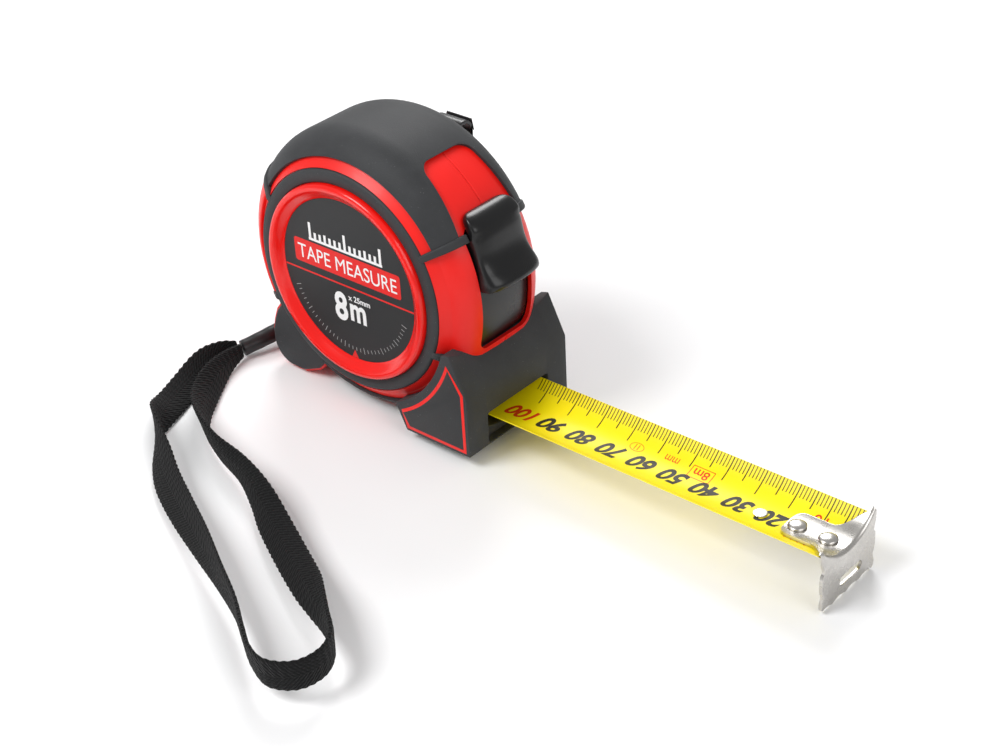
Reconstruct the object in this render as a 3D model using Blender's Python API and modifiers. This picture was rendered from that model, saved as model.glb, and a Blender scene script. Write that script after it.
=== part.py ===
"""Retractable tape measure: two-shell case with soft grip, thumb lock, spring reel, blade and wrist strap.

Frame: +X out of the mouth, +Y towards the belt clip, +Z up, in metres. The origin is on the flat base,
straight below the reel's axle. The blade is modelled drawn out to BLADE_OUT.
"""

from math import atan2, cos, hypot, pi, radians, sin, sqrt

import bmesh
import bpy
from mathutils import Vector

MM = 0.001

# Case, driving sizes
AXLE_HEIGHT = 39.5 * MM
CORE_RADIUS = 39.9 * MM
CORE_HALF_WIDTH = 18.6 * MM
SHOULDER_RADIUS = 10.0 * MM
SHELL_WALL = 2.0 * MM
SEAM_OFFSET = 1.0 * MM
FIT_GAP = 0.2 * MM

# Side face, from the label outwards
LABEL_RADIUS = 24.1 * MM
LABEL_THICKNESS = 0.4 * MM
DISH_WIDTH = 4.4 * MM
DISH_RISE = 2.6 * MM
RIM_WIDTH = 3.7 * MM
RIM_HEIGHT = 0.9 * MM
BAND_WIDTH = 2.4 * MM

# Soft grip
GRIP_THICKNESS = 1.0 * MM
FRONT_RED = (-23.0, 28.0)
REAR_RED = (150.0, 205.0)
BRIDGE_ANGLES = (29.5, 148.5, 206.5, 337.5)
BRIDGE_WIDTH = 2.4 * MM
WINDOW_TOP_ANGLE = 62.0
WINDOW_HALF_WIDTH = 10.0 * MM

# Nose and heel
NOSE_FRONT = 41.7 * MM
NOSE_HALF_WIDTH = 20.6 * MM
NOSE_HEIGHT = 18.2 * MM
NOSE_TOP_RISE = 11.8 * MM
NOSE_TOP_BACK = 5.5 * MM
NOSE_CORNER = 3.0 * MM
NOSE_REAR = 19.0 * MM
OUTLINE_WIDTH = 0.9 * MM
HEEL_REAR = -37.0 * MM
HEEL_FRONT = -20.0 * MM
HEEL_HALF_WIDTH = 16.0 * MM
HEEL_CORNER = 5.0 * MM

# Blade and reel
BLADE_WIDTH = 25.0 * MM
BLADE_CURVE = 15.5 * MM
BLADE_THICKNESS = 0.25 * MM
BLADE_EDGE_HEIGHT = 9.0 * MM
BLADE_OUT = 102.6 * MM
COIL_INNER = 24.1 * MM
COIL_OUTER = 31.3 * MM
FLANGE_RADIUS = 32.6 * MM
FLANGE_THICKNESS = 1.0 * MM
DRUM_WALL = 1.5 * MM
POST_RADIUS = 3.4 * MM
BORE_GAP = 0.4 * MM
MOUTH_SIDE_GAP = 1.3 * MM
MOUTH_TOP_GAP = 1.0 * MM
LIP_SETBACK = 2.0 * MM
LIP_DEPTH = 6.5 * MM

# Hook and rivets
HOOK_WIDTH = 24.0 * MM
HOOK_BOTTOM = -7.5 * MM
HOOK_RISE = 0.8 * MM
HOOK_THICKNESS = 0.9 * MM
HOOK_PLAY = 0.8 * MM
TAB_LENGTH = 17.5 * MM
TAB_WIDTH = 10.0 * MM
RIVET_PLACES = (("hook_rivet_front", 5.2), ("hook_rivet_middle", 14.0), ("hook_rivet_rear", 24.8))
RIVET_SHANK = 1.2 * MM
RIVET_HEAD = 2.5 * MM
BACKING_LENGTH = 27.5 * MM

# Thumb lock, angles about the axle
PAD = (9.0, 35.0)
SKIRT = (-30.0, 47.0)
SKIRT_THICKNESS = 1.6 * MM
SKIRT_GAP = 0.42 * MM
ARM_TO = -42.0
LOCK_HALF_WIDTH = 9.7 * MM
LOCK_OPENING = (-19.0, 36.5)
PAD_HEIGHT = 3.3 * MM
LIP_HEIGHT = 6.0 * MM
LOCK_LIP_SPAN = 4.5

# Fasteners, belt clip and strap
SCREW_SHANK = 1.1 * MM
SCREW_HEAD = 2.1 * MM
SCREW_LENGTH = 19.0 * MM
CLIP_WIDTH = 9.5 * MM
CLIP_THICKNESS = 1.0 * MM
CLIP_FOLD = 3.0 * MM
CLIP_TOP = 70.5 * MM
CLIP_FOOT = 22.0 * MM
SLEEVE_RADIUS = 2.4 * MM
STRAP_WIDTH = 8.8 * MM
STRAP_THICKNESS = 1.2 * MM

# Wrist strap: x, y and the turn of the web from standing on edge, in degrees
STRAP_ROUTE = (
    (-46.6, -21.8, 8), (-47.6, -26.5, 20), (-46.8, -33.5, 38), (-44.5, -42.9, 62), (-41.6, -51.0, 66),
    (-37.6, -58.2, 40),
    (-33.1, -63.7, 5), (-28.0, -68.0, -15), (-21.0, -73.0, -38), (-12.0, -78.8, -48), (0.3, -85.0, -44),
    (15.5, -92.0, -28), (28.9, -98.3, -10), (41.3, -104.4, 0), (50.0, -110.0, 4), (57.5, -114.6, 6),
    (64.5, -116.4, 4), (70.5, -112.8, 2), (72.0, -106.0, 0), (69.0, -99.8, 0), (62.5, -95.2, 8),
    (55.0, -91.0, 30), (47.0, -86.6, 55), (36.0, -80.9, 66), (23.1, -74.4, 58), (12.5, -69.0, 34),
    (0.8, -64.2, 10), (-11.5, -61.0, -4), (-22.0, -56.6, -12), (-29.6, -51.0, -30), (-35.2, -44.4, -42),
    (-39.2, -37.0, -30), (-42.6, -28.6, -16), (-44.3, -22.2, -8),
)

COLLECTION = "tape_measure"
MANIFOLD_PIECES = ("case_left", "case_right", "grip_", "nose_cover", "heel_cheek", "lock_slider", "hook")
FINISHES = {
    "red_abs": ((0.80, 0.012, 0.008), 0.30, 0.0),
    "soft_grip": ((0.035, 0.036, 0.038), 0.75, 0.0),
    "gloss_black": ((0.012, 0.012, 0.013), 0.18, 0.0),
    "label_print": ((0.03, 0.03, 0.032), 0.45, 0.0),
    "blade_yellow": ((0.95, 0.74, 0.02), 0.35, 0.0),
    "plated_steel": ((0.72, 0.70, 0.67), 0.25, 1.0),
    "zinc_screw": ((0.55, 0.56, 0.58), 0.35, 1.0),
    "black_steel": ((0.02, 0.02, 0.02), 0.35, 0.6),
    "reel_plastic": ((0.30, 0.30, 0.31), 0.5, 0.0),
    "spring_steel": ((0.30, 0.31, 0.34), 0.3, 1.0),
    "strap_web": ((0.012, 0.012, 0.013), 0.9, 0.0),
}

RIM_INNER = LABEL_RADIUS + DISH_WIDTH
RIM_OUTER = RIM_INNER + RIM_WIDTH
BAND_OUTER = RIM_OUTER + BAND_WIDTH
SHOULDER_CENTRE_R = CORE_RADIUS - SHOULDER_RADIUS
SHOULDER_CENTRE_Y = CORE_HALF_WIDTH - SHOULDER_RADIUS - 1.0 * MM
CHAMBER_HALF_WIDTH = CORE_HALF_WIDTH - SHELL_WALL - 0.3 * MM
CHAMBER_SHOULDER = SHOULDER_RADIUS - SHELL_WALL
SKIRT_BENT = max(0.0, LOCK_HALF_WIDTH - SHOULDER_CENTRE_Y)
CHAMBER_OVER_SKIRT = SHOULDER_CENTRE_R + sqrt(CHAMBER_SHOULDER**2 - SKIRT_BENT**2)
SKIRT_OUTER = CHAMBER_OVER_SKIRT - SKIRT_GAP
SKIRT_RADII = (SKIRT_OUTER - SKIRT_THICKNESS, SKIRT_OUTER)
BLADE_HALF_ANGLE = BLADE_WIDTH / 2 / BLADE_CURVE
BLADE_HALF_CHORD = BLADE_CURVE * sin(BLADE_HALF_ANGLE)
BLADE_TROUGH = BLADE_EDGE_HEIGHT - BLADE_CURVE * (1 - cos(BLADE_HALF_ANGLE))
HOOK_ZERO = NOSE_FRONT + BLADE_OUT
MOUTH_HALF_WIDTH = BLADE_HALF_CHORD + MOUTH_SIDE_GAP
MOUTH_TOP = BLADE_EDGE_HEIGHT + MOUTH_TOP_GAP
NOSE_CORE_HALF = NOSE_HALF_WIDTH - GRIP_THICKNESS
DRUM_RADIUS = COIL_INNER - FIT_GAP
REEL_HALF_WIDTH = BLADE_WIDTH / 2 + 0.6 * MM
FAR = 90 * MM
OVERRUN = 3 * MM
BASE_LIFT = 0.3 * MM
HOOK_TOP = BLADE_EDGE_HEIGHT + HOOK_RISE
LIP_TOP = 2.5 * MM
LIP_EDGE_TOP = 5.2 * MM
LIP_FLOOR = 0.8 * MM
CHANNEL_START = 8.0 * MM
CHANNEL_FLOOR = 2.2 * MM
BLADE_START = 3.0 * MM
GUSSET_LENGTH = 2.6 * MM
HOOK_TEETH = 6
BACKING_THICKNESS = 0.4 * MM
SPRING_THICKNESS = 0.35 * MM
PANEL_SETBACK = 1.1 * MM
PANEL_FOLLOW = 2.8 * MM
WASHER_THICKNESS = 0.3 * MM
WASHER_GAP = 0.1 * MM
WASHER_FACE = REEL_HALF_WIDTH + FLANGE_THICKNESS + FIT_GAP
POST_SEAT = CHAMBER_HALF_WIDTH - WASHER_FACE - WASHER_THICKNESS - WASHER_GAP
SCREW_TOP = CORE_HALF_WIDTH - 6.4 * MM
SCREW_HEAD_DEPTH = 1.4 * MM
SCREW_BOSS = 2.5 * MM
CLIP_BOSS = 6.0 * MM
CLIP_SCREW = 1.5 * MM
CLIP_SEAT = CORE_HALF_WIDTH + DISH_RISE + 0.3 * MM
CLIP_SCREW_END = 8.0 * MM
STRAP_PIN = (-28.0 * MM, 5.6 * MM)
STRAP_POCKET = 3.4 * MM
PIN_RADIUS = 1.0 * MM
SLEEVE_ROUTE = tuple(
    (x * MM, y * MM, z * MM) for x, y, z in (
        (-31.2, 0.0, 5.6), (-35.5, -0.1, 5.6), (-38.8, -1.9, 5.5), (-40.9, -5.6, 5.2), (-42.0, -10.5, 4.7),
        (-43.4, -15.8, 4.0), (-45.2, -21.2, 3.2),
    )
)


def setup_scene():
    for obj in list(bpy.data.objects):
        bpy.data.objects.remove(obj, do_unlink=True)
    parts = bpy.data.collections.new(COLLECTION)
    cutters = bpy.data.collections.new("cutters")
    for made in (parts, cutters):
        bpy.context.scene.collection.children.link(made)
    return parts, cutters


PARTS, CUTTERS = setup_scene()


def finish_of(name):
    """The Principled material of a finish, made once."""
    material = bpy.data.materials.get(name)
    if material is None:
        colour, roughness, metallic = FINISHES[name]
        material = bpy.data.materials.new(name)
        material.use_nodes = True
        shader = material.node_tree.nodes["Principled BSDF"]
        shader.inputs["Base Color"].default_value = (*colour, 1.0)
        shader.inputs["Roughness"].default_value = roughness
        shader.inputs["Metallic"].default_value = metallic
        material.diffuse_color = (*colour, 1.0)
    return material


def place(obj, finish=None):
    """Links an object as a part with its finish, or as a hidden cutter when it has none."""
    if finish is None:
        CUTTERS.objects.link(obj)
        obj.hide_render = True
        obj.display_type = "WIRE"
    else:
        PARTS.objects.link(obj)
        obj.data.materials.append(finish_of(finish))
    return obj


def boolean(obj, tool, operation="DIFFERENCE"):
    """Cuts or joins; the shells and grips, with their many crossing faces, need the MANIFOLD solver."""
    modifier = obj.modifiers.new(f"{operation.lower()} {tool.name}", "BOOLEAN")
    modifier.operation = operation
    modifier.solver = "MANIFOLD" if obj.name.startswith(MANIFOLD_PIECES) else "EXACT"
    modifier.object = tool
    return obj


def mesh_object(name, bm, finish=None, smooth=True):
    """Wraps a bmesh as an object, shaded smooth except at its sharp edges."""
    bmesh.ops.recalc_face_normals(bm, faces=bm.faces)
    mesh = bpy.data.meshes.new(name)
    bm.to_mesh(mesh)
    bm.free()
    if smooth:
        mesh.shade_smooth()
        mesh.set_sharp_from_angle(angle=radians(32))
    return place(bpy.data.objects.new(name, mesh), finish)


def box(name, low, high, finish=None):
    bm = bmesh.new()
    bmesh.ops.create_cube(bm, size=1.0)
    low, high = Vector(low), Vector(high)
    size, middle = high - low, (high + low) / 2
    for vert in bm.verts:
        vert.co = Vector(vert.co[i] * size[i] + middle[i] for i in range(3))
    return mesh_object(name, bm, finish, smooth=False)


def arc(centre, radius, start, end, steps):
    """Points on an arc, from start to end in degrees."""
    angles = [radians(start + (end - start) * k / steps) for k in range(steps + 1)]
    return [(centre[0] + radius * cos(a), centre[1] + radius * sin(a)) for a in angles]


def flat_solid(name, outline, low, high, turn, finish=None):
    """Extrudes an outline from low to high along its normal, as a mesh that takes Booleans."""
    curve = bpy.data.curves.new(name, "CURVE")
    curve.dimensions = "2D"
    curve.fill_mode = "BOTH"
    curve.extrude = (high - low) / 2
    spline = curve.splines.new("POLY")
    spline.points.add(len(outline) - 1)
    for point, (u, v) in zip(spline.points, outline):
        point.co = (u, v, 0, 1)
    spline.use_cyclic_u = True
    sketch = bpy.data.objects.new(name + "_sketch", curve)
    bpy.context.scene.collection.objects.link(sketch)
    bpy.context.view_layer.update()
    graph = bpy.context.evaluated_depsgraph_get()
    mesh = bpy.data.meshes.new_from_object(sketch.evaluated_get(graph))
    bpy.data.objects.remove(sketch)
    bm = bmesh.new()
    bm.from_mesh(mesh)
    bmesh.ops.remove_doubles(bm, verts=bm.verts, dist=1e-7)
    bpy.data.meshes.remove(mesh)
    obj = mesh_object(name, bm, finish)
    obj.rotation_euler = turn
    return obj


def side_prism(name, outline, low, high, finish=None):
    """An outline in X and Z, extruded across from Y low to Y high."""
    obj = flat_solid(name, outline, low, high, (pi / 2, 0, 0), finish)
    obj.location.y = (low + high) / 2
    return obj


def front_prism(name, outline, low, high, finish=None):
    """An outline in Y and Z, extruded along from X low to X high."""
    obj = flat_solid(name, outline, low, high, (pi / 2, 0, pi / 2), finish)
    obj.location.x = (low + high) / 2
    return obj


def turned(name, profile, finish=None, steps=64, place_at=None, upright=False, closed=False):
    """A profile of (radius, y) turned about an axis along Y, or along Z when upright.

    The profile runs down its outer side, from high y to low y. The axis passes the axle by default.
    """
    mesh = bpy.data.meshes.new(name)
    edges = [(k, k + 1) for k in range(len(profile) - 1)]
    if closed:
        edges.append((len(profile) - 1, 0))
    mesh.from_pydata([(r, 0, y) for r, y in profile], edges, [])
    obj = place(bpy.data.objects.new(name, mesh), finish)
    obj.location = place_at or (0, 0, AXLE_HEIGHT)
    obj.rotation_euler = (0, 0, 0) if upright else (-pi / 2, 0, 0)
    screw = obj.modifiers.new("turn", "SCREW")
    screw.axis = "Z"
    screw.steps = screw.render_steps = steps
    screw.use_merge_vertices = True
    screw.merge_threshold = 1e-6
    screw.use_smooth_shade = True
    return obj


def disc(name, radius, low, high, finish=None, steps=64, at=None):
    return turned(name, [(0, high), (radius, high), (radius, low), (0, low)], finish, steps, at)


def ring(name, inner, outer, low, high, finish=None, steps=64):
    profile = [(inner, high), (outer, high), (outer, low), (inner, low)]
    return turned(name, profile, finish, steps, closed=True)


def sided(side, low, high):
    """A range of distances from the middle plane, as a range of Y on the given side."""
    return (low, high) if side > 0 else (-high, -low)


def on_side(side, profile):
    """A profile drawn for +Y, turned round for the other side and kept running downwards."""
    return profile if side > 0 else [(r, -y) for r, y in reversed(profile)]


def half_turned(name, side, outline, finish=None, steps=64, past=OVERRUN):
    """A solid half turned from an outline that runs from the side face's middle out to the crown."""
    crown = outline[-1][0]
    return turned(name, on_side(side, outline + [(crown, -past), (0, -past)]), finish, steps)


def polar(radius, angle):
    """A point at an angle about the axle, measured from +X towards +Z."""
    return radius * cos(radians(angle)), AXLE_HEIGHT + radius * sin(radians(angle))


def wedge(name, start, end, low, high, inner=0.0, outer=FAR, steps=10, finish=None):
    """A sector about the axle, between two angles and two radii."""
    rim = arc((0, AXLE_HEIGHT), outer, start, end, steps)
    back = arc((0, AXLE_HEIGHT), inner, end, start, steps) if inner else [(0, AXLE_HEIGHT)]
    return side_prism(name, rim + back, low, high, finish)


def strip_outline(path, thickness):
    """The outline of a thin strip that follows a path."""
    left, right = [], []
    for k, (u, v) in enumerate(path):
        (u0, v0), (u1, v1) = path[max(k - 1, 0)], path[min(k + 1, len(path) - 1)]
        length = hypot(u1 - u0, v1 - v0)
        nu, nv = (v0 - v1) / length * thickness / 2, (u1 - u0) / length * thickness / 2
        left.append((u + nu, v + nv))
        right.append((u - nu, v - nv))
    return left + right[::-1]


def trim_to_half(obj, side, tag):
    """Cuts a half back to the parting plane and to the flat base."""
    seam = SEAM_OFFSET + side * FIT_GAP / 2
    low, high = (-FAR, seam) if side > 0 else (seam, FAR)
    boolean(obj, box(f"seam_{tag}", (-FAR, low, -FAR), (FAR, high, FAR)))


SCREW_PLACES = {
    "case_screw_nose": (36.9 * MM, 14.0 * MM),
    "case_screw_heel": (-30.0 * MM, 12.0 * MM),
    "case_screw_front": polar(35.6 * MM, 64.0),
    "case_screw_rear": polar(35.6 * MM, 135.0),
}


# ---------------------------------------------------------------- case


def shoulder(grow, steps=6, end=62.0):
    """The crown and shoulder of the case from the outer end in to the crown, as (radius, y)."""
    turn = arc((SHOULDER_CENTRE_R, SHOULDER_CENTRE_Y), SHOULDER_RADIUS + grow, end, 0, steps)
    return turn + [(CORE_RADIUS + grow, 0)]


def core_outline():
    """The red shell's outside from the label's middle out to the crown."""
    face = CORE_HALF_WIDTH
    return [
        (0, face), (LABEL_RADIUS + FIT_GAP, face), (LABEL_RADIUS + FIT_GAP, face + LABEL_THICKNESS + FIT_GAP),
        (RIM_INNER - 1.0 * MM, face + DISH_RISE), (RIM_INNER - 2 * FIT_GAP, face + DISH_RISE - 0.4 * MM),
        (RIM_INNER - 2 * FIT_GAP, face - FIT_GAP), (RIM_OUTER + FIT_GAP, face - FIT_GAP),
        (RIM_OUTER + FIT_GAP, face + RIM_HEIGHT / 3),
    ] + shoulder(0)


def chamber_outline():
    wall = shoulder(-SHELL_WALL, steps=4, end=58)
    return [(0, CHAMBER_HALF_WIDTH), (wall[0][0] - 0.6 * MM, CHAMBER_HALF_WIDTH)] + wall


def body_clearance(name, side, grow):
    """The turned body grown a little, and straight outwards past its shoulder."""
    wall = shoulder(grow)
    return half_turned(name, side, [(0, FAR), (wall[0][0], FAR)] + wall, past=2 * OVERRUN)


def nose_outline(inset, bottom):
    """The nose seen from the side: base, front, sloping top, and an arc that follows the case."""
    front = NOSE_FRONT - inset
    follow = arc((0, AXLE_HEIGHT), BAND_OUTER + 0.5 * MM + inset, -17, -64, 8)
    return [
        (NOSE_REAR, bottom), (front, bottom), (front, NOSE_HEIGHT - inset / 2),
        (front - NOSE_TOP_BACK, NOSE_HEIGHT + NOSE_TOP_RISE - inset),
    ] + follow


def panel_outline(inset):
    """The inlay on the nose's side, inside the red outline by the inset."""
    front = NOSE_FRONT - PANEL_SETBACK - inset
    low = PANEL_SETBACK + inset
    follow = arc((0, AXLE_HEIGHT), BAND_OUTER + PANEL_FOLLOW + inset, -20 - 1.5 * inset / MM, -62, 8)
    top = NOSE_HEIGHT + 1.2 * MM - inset / 2
    return [(NOSE_REAR + 0.4 * MM + inset, low), (front, low), (front, top)] + follow


def heel_outline(inset, bottom):
    rear = HEEL_REAR + inset
    corner = arc((rear + HEEL_CORNER, bottom + HEEL_CORNER), HEEL_CORNER, 180, 270, 5)
    back = [(-20 * MM, 28 * MM), (rear + 5 * MM, 21 * MM), (rear + 1.2 * MM, 15 * MM), (rear, 10.5 * MM)]
    return back + corner + [
        (HEEL_FRONT, bottom), (HEEL_FRONT + 9 * MM, 12 * MM),
    ]


def nose_block(name, side, inset, half_width, bottom, past=0.8 * OVERRUN):
    """The nose on one side, with its front upright edge rounded."""
    obj = side_prism(name, nose_outline(inset, bottom), *sided(side, -past, half_width))
    front, outer = NOSE_FRONT - inset, (half_width + past) / 2
    bm = bmesh.new()
    bm.from_mesh(obj.data)
    upright = [
        edge for edge in bm.edges
        if all(abs(v.co.x - front) < 1e-6 and abs(v.co.z + side * outer) < 1e-6 for v in edge.verts)
    ]
    bmesh.ops.bevel(bm, geom=upright, offset=NOSE_CORNER, segments=4, profile=0.5, affect="EDGES")
    bm.to_mesh(obj.data)
    bm.free()
    return obj


def bridge(name, side, angle, grow=0.0):
    """A bar of soft grip from the rim over the red band to the crown."""
    face = CORE_HALF_WIDTH
    edge_r, edge_y = shoulder(0)[0]
    outline = [
        (RIM_OUTER - 1.3 * MM, face + 0.2 * MM - grow), (RIM_OUTER - 0.2 * MM, face + 0.1 * MM - grow),
        (RIM_OUTER + 0.5 * MM, face - 1.2 * MM - grow), (edge_r + 0.1 * MM, edge_y - 0.6 * MM - grow),
        (edge_r + 1.5 * MM, edge_y - 1.6 * MM - grow), (edge_r + 2.0 * MM + grow, edge_y - 0.3 * MM),
        (edge_r + 0.6 * MM, edge_y + 1.0 * MM + grow), (RIM_OUTER + 0.6 * MM, face + RIM_HEIGHT - 0.2 * MM + grow),
        (RIM_OUTER - 1.3 * MM, face + RIM_HEIGHT - 0.2 * MM + grow),
    ]
    half = BRIDGE_WIDTH / 2 + grow
    obj = flat_solid(name, [(r, y * side) for r, y in outline], -half, half, (0, -radians(angle), 0))
    obj.location.z = AXLE_HEIGHT
    return obj


def mouth_cutters(tag):
    """The blade's channel and the pocket for the lip below it."""
    wide = MOUTH_HALF_WIDTH
    channel = box(f"channel_{tag}", (CHANNEL_START, -wide, CHANNEL_FLOOR), (FAR, wide, MOUTH_TOP))
    lip_rear = NOSE_FRONT - LIP_SETBACK - LIP_DEPTH - FIT_GAP
    pocket = box(f"lip_pocket_{tag}", (lip_rear, -wide, LIP_FLOOR), (FAR, wide, CHANNEL_FLOOR + OVERRUN))
    return channel, pocket


def lock_opening(tag):
    half = LOCK_HALF_WIDTH + 2 * FIT_GAP
    start, end = LOCK_OPENING
    return wedge(f"lock_opening_{tag}", start, end, -half, half, inner=SKIRT_RADII[0] - OVERRUN)


def screw_cutters(side, tag, spot):
    """The hole for one case screw: a pilot on the left, clearance and a counterbore on the right."""
    at = (spot[0], 0, spot[1])
    if side < 0:
        pilot_end = SCREW_TOP - SCREW_LENGTH - 2 * FIT_GAP
        return [disc(f"pilot_{tag}", SCREW_SHANK + 0.1 * MM, pilot_end, FAR, None, 16, at)]
    return [
        disc(f"clearance_{tag}", SCREW_SHANK + 0.3 * MM, -FAR, SCREW_TOP, None, 16, at),
        disc(f"counterbore_{tag}", SCREW_HEAD + 0.3 * MM, SCREW_TOP - SCREW_HEAD_DEPTH - FIT_GAP, FAR, None, 24, at),
    ]


def tube(name, points, radius, finish=None, smooth_steps=3):
    """A round tube along a smooth curve through the points."""
    curve = bpy.data.curves.new(name, "CURVE")
    curve.dimensions = "3D"
    curve.bevel_depth = radius
    curve.bevel_resolution = 3
    curve.use_fill_caps = True
    route = smooth_route(points, smooth_steps)
    spline = curve.splines.new("POLY")
    spline.points.add(len(route) - 1)
    for point, co in zip(spline.points, route):
        point.co = (*co, 1)
    return place(bpy.data.objects.new(name, curve), finish)


def smooth_route(points, steps):
    """A Catmull-Rom curve through the points, which may have any number of values each."""
    points = [Vector(p) for p in points]
    route = []
    for k in range(len(points) - 1):
        before, after = points[max(k - 1, 0)], points[min(k + 2, len(points) - 1)]
        a, b = points[k], points[k + 1]
        for step in range(steps):
            t = step / steps
            route.append(
                0.5 * (2 * a + (b - before) * t + (2 * before - 5 * a + 4 * b - after) * t**2
                       + (3 * a - before - 3 * b + after) * t**3)
            )
    return route + [points[-1]]


def tube_cutter(name, points, radius):
    """A tube as a welded mesh, to cut with."""
    sketch = tube(name + "_sketch", points, radius)
    bpy.context.view_layer.update()
    mesh = bpy.data.meshes.new_from_object(sketch.evaluated_get(bpy.context.evaluated_depsgraph_get()))
    bpy.data.objects.remove(sketch)
    bm = bmesh.new()
    bm.from_mesh(mesh)
    bmesh.ops.remove_doubles(bm, verts=bm.verts, dist=1e-6)
    return mesh_object(name, bm)


def case_half(side):
    """One shell: crown, side face, nose and heel cores, hollowed for the reel, lock and blade."""
    tag = "right" if side > 0 else "left"
    shell = half_turned(f"case_{tag}", side, core_outline(), "red_abs", 72)
    boolean(shell, nose_block(f"nose_core_{tag}", side, GRIP_THICKNESS, NOSE_CORE_HALF, 0.0), "UNION")
    heel_half = HEEL_HALF_WIDTH - GRIP_THICKNESS
    low, high = sided(side, -0.7 * OVERRUN, heel_half)
    boolean(shell, side_prism(f"heel_core_{tag}", heel_outline(0, 0), low, high), "UNION")
    boolean(shell, half_turned(f"chamber_{tag}", side, chamber_outline(), None, 56, 2 * OVERRUN))
    for name in ("case_screw_front", "case_screw_rear"):
        x, z = SCREW_PLACES[name]
        low, high = sided(side, -0.6 * OVERRUN, SCREW_TOP + 0.6 * MM)
        boolean(shell, disc(f"boss_{name}_{tag}", SCREW_BOSS, low, high, None, 20, (x, 0, z)), "UNION")
    low, high = sided(side, CHAMBER_HALF_WIDTH - POST_SEAT, CHAMBER_HALF_WIDTH + 0.3 * MM)
    seat_inner = POST_RADIUS + FIT_GAP
    boolean(shell, ring(f"post_seat_{tag}", seat_inner, POST_RADIUS + 2.2 * MM, low, high, None, 32), "UNION")
    if side > 0:
        boolean(shell, disc("clip_boss", CLIP_BOSS, CORE_HALF_WIDTH - 1 * MM, CLIP_SEAT, None, 32), "UNION")
        boolean(shell, disc("clip_hole", CLIP_SCREW + FIT_GAP, CHAMBER_HALF_WIDTH - 1 * MM, FAR, None, 20))
    for cutter in mouth_cutters(tag):
        boolean(shell, cutter)
    boolean(shell, lock_opening(tag))
    for angle in BRIDGE_ANGLES:
        boolean(shell, bridge(f"bridge_groove_{angle:.0f}_{tag}", side, angle, FIT_GAP))
    for name, spot in SCREW_PLACES.items():
        for cutter in screw_cutters(side, f"{name}_{tag}", spot):
            boolean(shell, cutter)
    boolean(shell, tube_cutter(f"strap_tunnel_{tag}", SLEEVE_ROUTE, SLEEVE_RADIUS + 2 * FIT_GAP))
    pin_x, pin_z = STRAP_PIN
    pocket_low = (pin_x - 2.6 * MM, -STRAP_POCKET, pin_z - SLEEVE_RADIUS)
    pocket_high = (pin_x + 2.6 * MM, STRAP_POCKET, pin_z + SLEEVE_RADIUS)
    boolean(shell, box(f"strap_pocket_{tag}", pocket_low, pocket_high))
    pin_half = STRAP_POCKET + 2 * MM + FIT_GAP
    pin_at = (pin_x, 0, pin_z)
    boolean(shell, disc(f"pin_hole_{tag}", PIN_RADIUS + FIT_GAP, -pin_half, pin_half, None, 16, pin_at))
    boolean(shell, box(f"below_base_{tag}", (-FAR, -FAR, -FAR), (FAR, FAR, 0)))
    trim_to_half(shell, side, tag)
    return shell


def grip_half(side):
    """The soft overmould of one shell: crown, rim, bridges, nose cover and heel cheek."""
    tag = "right" if side > 0 else "left"
    gap = FIT_GAP
    outer, inner = shoulder(GRIP_THICKNESS), shoulder(gap)
    layer = outer + [(outer[-1][0], -OVERRUN), (inner[-1][0], -OVERRUN)] + inner[::-1]
    grip = turned(f"grip_{tag}", on_side(side, layer), "soft_grip", 72, closed=True)
    for name, (start, end) in (("front", FRONT_RED), ("rear", REAR_RED)):
        boolean(grip, wedge(f"{name}_red_{tag}", start, end, -FAR, FAR))
    half = WINDOW_HALF_WIDTH
    boolean(grip, wedge(f"window_{tag}", FRONT_RED[1] - 3, WINDOW_TOP_ANGLE, -half, half))
    cheek = side_prism(
        f"heel_cheek_{tag}", heel_outline(OUTLINE_WIDTH * 0.6, OUTLINE_WIDTH * 0.6),
        *sided(side, HEEL_HALF_WIDTH - GRIP_THICKNESS + gap, HEEL_HALF_WIDTH),
    )
    cover = nose_block(f"nose_cover_{tag}", side, 0.0, NOSE_HALF_WIDTH, BASE_LIFT)
    for piece in (cover, cheek):
        boolean(piece, body_clearance(f"body_clear_{piece.name}", side, gap))
    boolean(cover, nose_block(f"nose_clear_{tag}", side, GRIP_THICKNESS - gap, NOSE_CORE_HALF + gap, -OVERRUN, OVERRUN))
    boolean(cover, side_prism(f"panel_window_{tag}", panel_outline(0), *sided(side, NOSE_CORE_HALF - 1 * MM, FAR)))
    heel_half = HEEL_HALF_WIDTH - GRIP_THICKNESS + gap
    heel_clear = side_prism(f"heel_clear_{tag}", heel_outline(-gap, -gap), *sided(side, -2 * OVERRUN, heel_half))
    boolean(grip, heel_clear)
    boolean(grip, nose_block(f"crown_stop_{tag}", side, -1 * MM, FAR, -OVERRUN, 2 * OVERRUN))
    boolean(grip, box(f"under_{tag}", (-FAR, -FAR, -FAR), (FAR, FAR, BASE_LIFT)))
    boolean(grip, cover, "UNION")
    boolean(grip, cheek, "UNION")
    face = CORE_HALF_WIDTH
    low, high = sided(side, face - gap / 2, face + RIM_HEIGHT)
    boolean(grip, ring(f"rim_{tag}", RIM_INNER, RIM_OUTER, low, high, None, 64), "UNION")
    for angle in BRIDGE_ANGLES:
        boolean(grip, bridge(f"bridge_{angle:.0f}_{tag}", side, angle), "UNION")
    for cutter in mouth_cutters(f"grip_{tag}"):
        boolean(grip, cutter)
    boolean(grip, lock_opening(f"grip_{tag}"))
    if side > 0:
        for name, spot in SCREW_PLACES.items():
            boolean(grip, screw_cutters(side, f"grip_{name}", spot)[1])
    trim_to_half(grip, side, f"grip_{tag}")
    return grip


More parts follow.
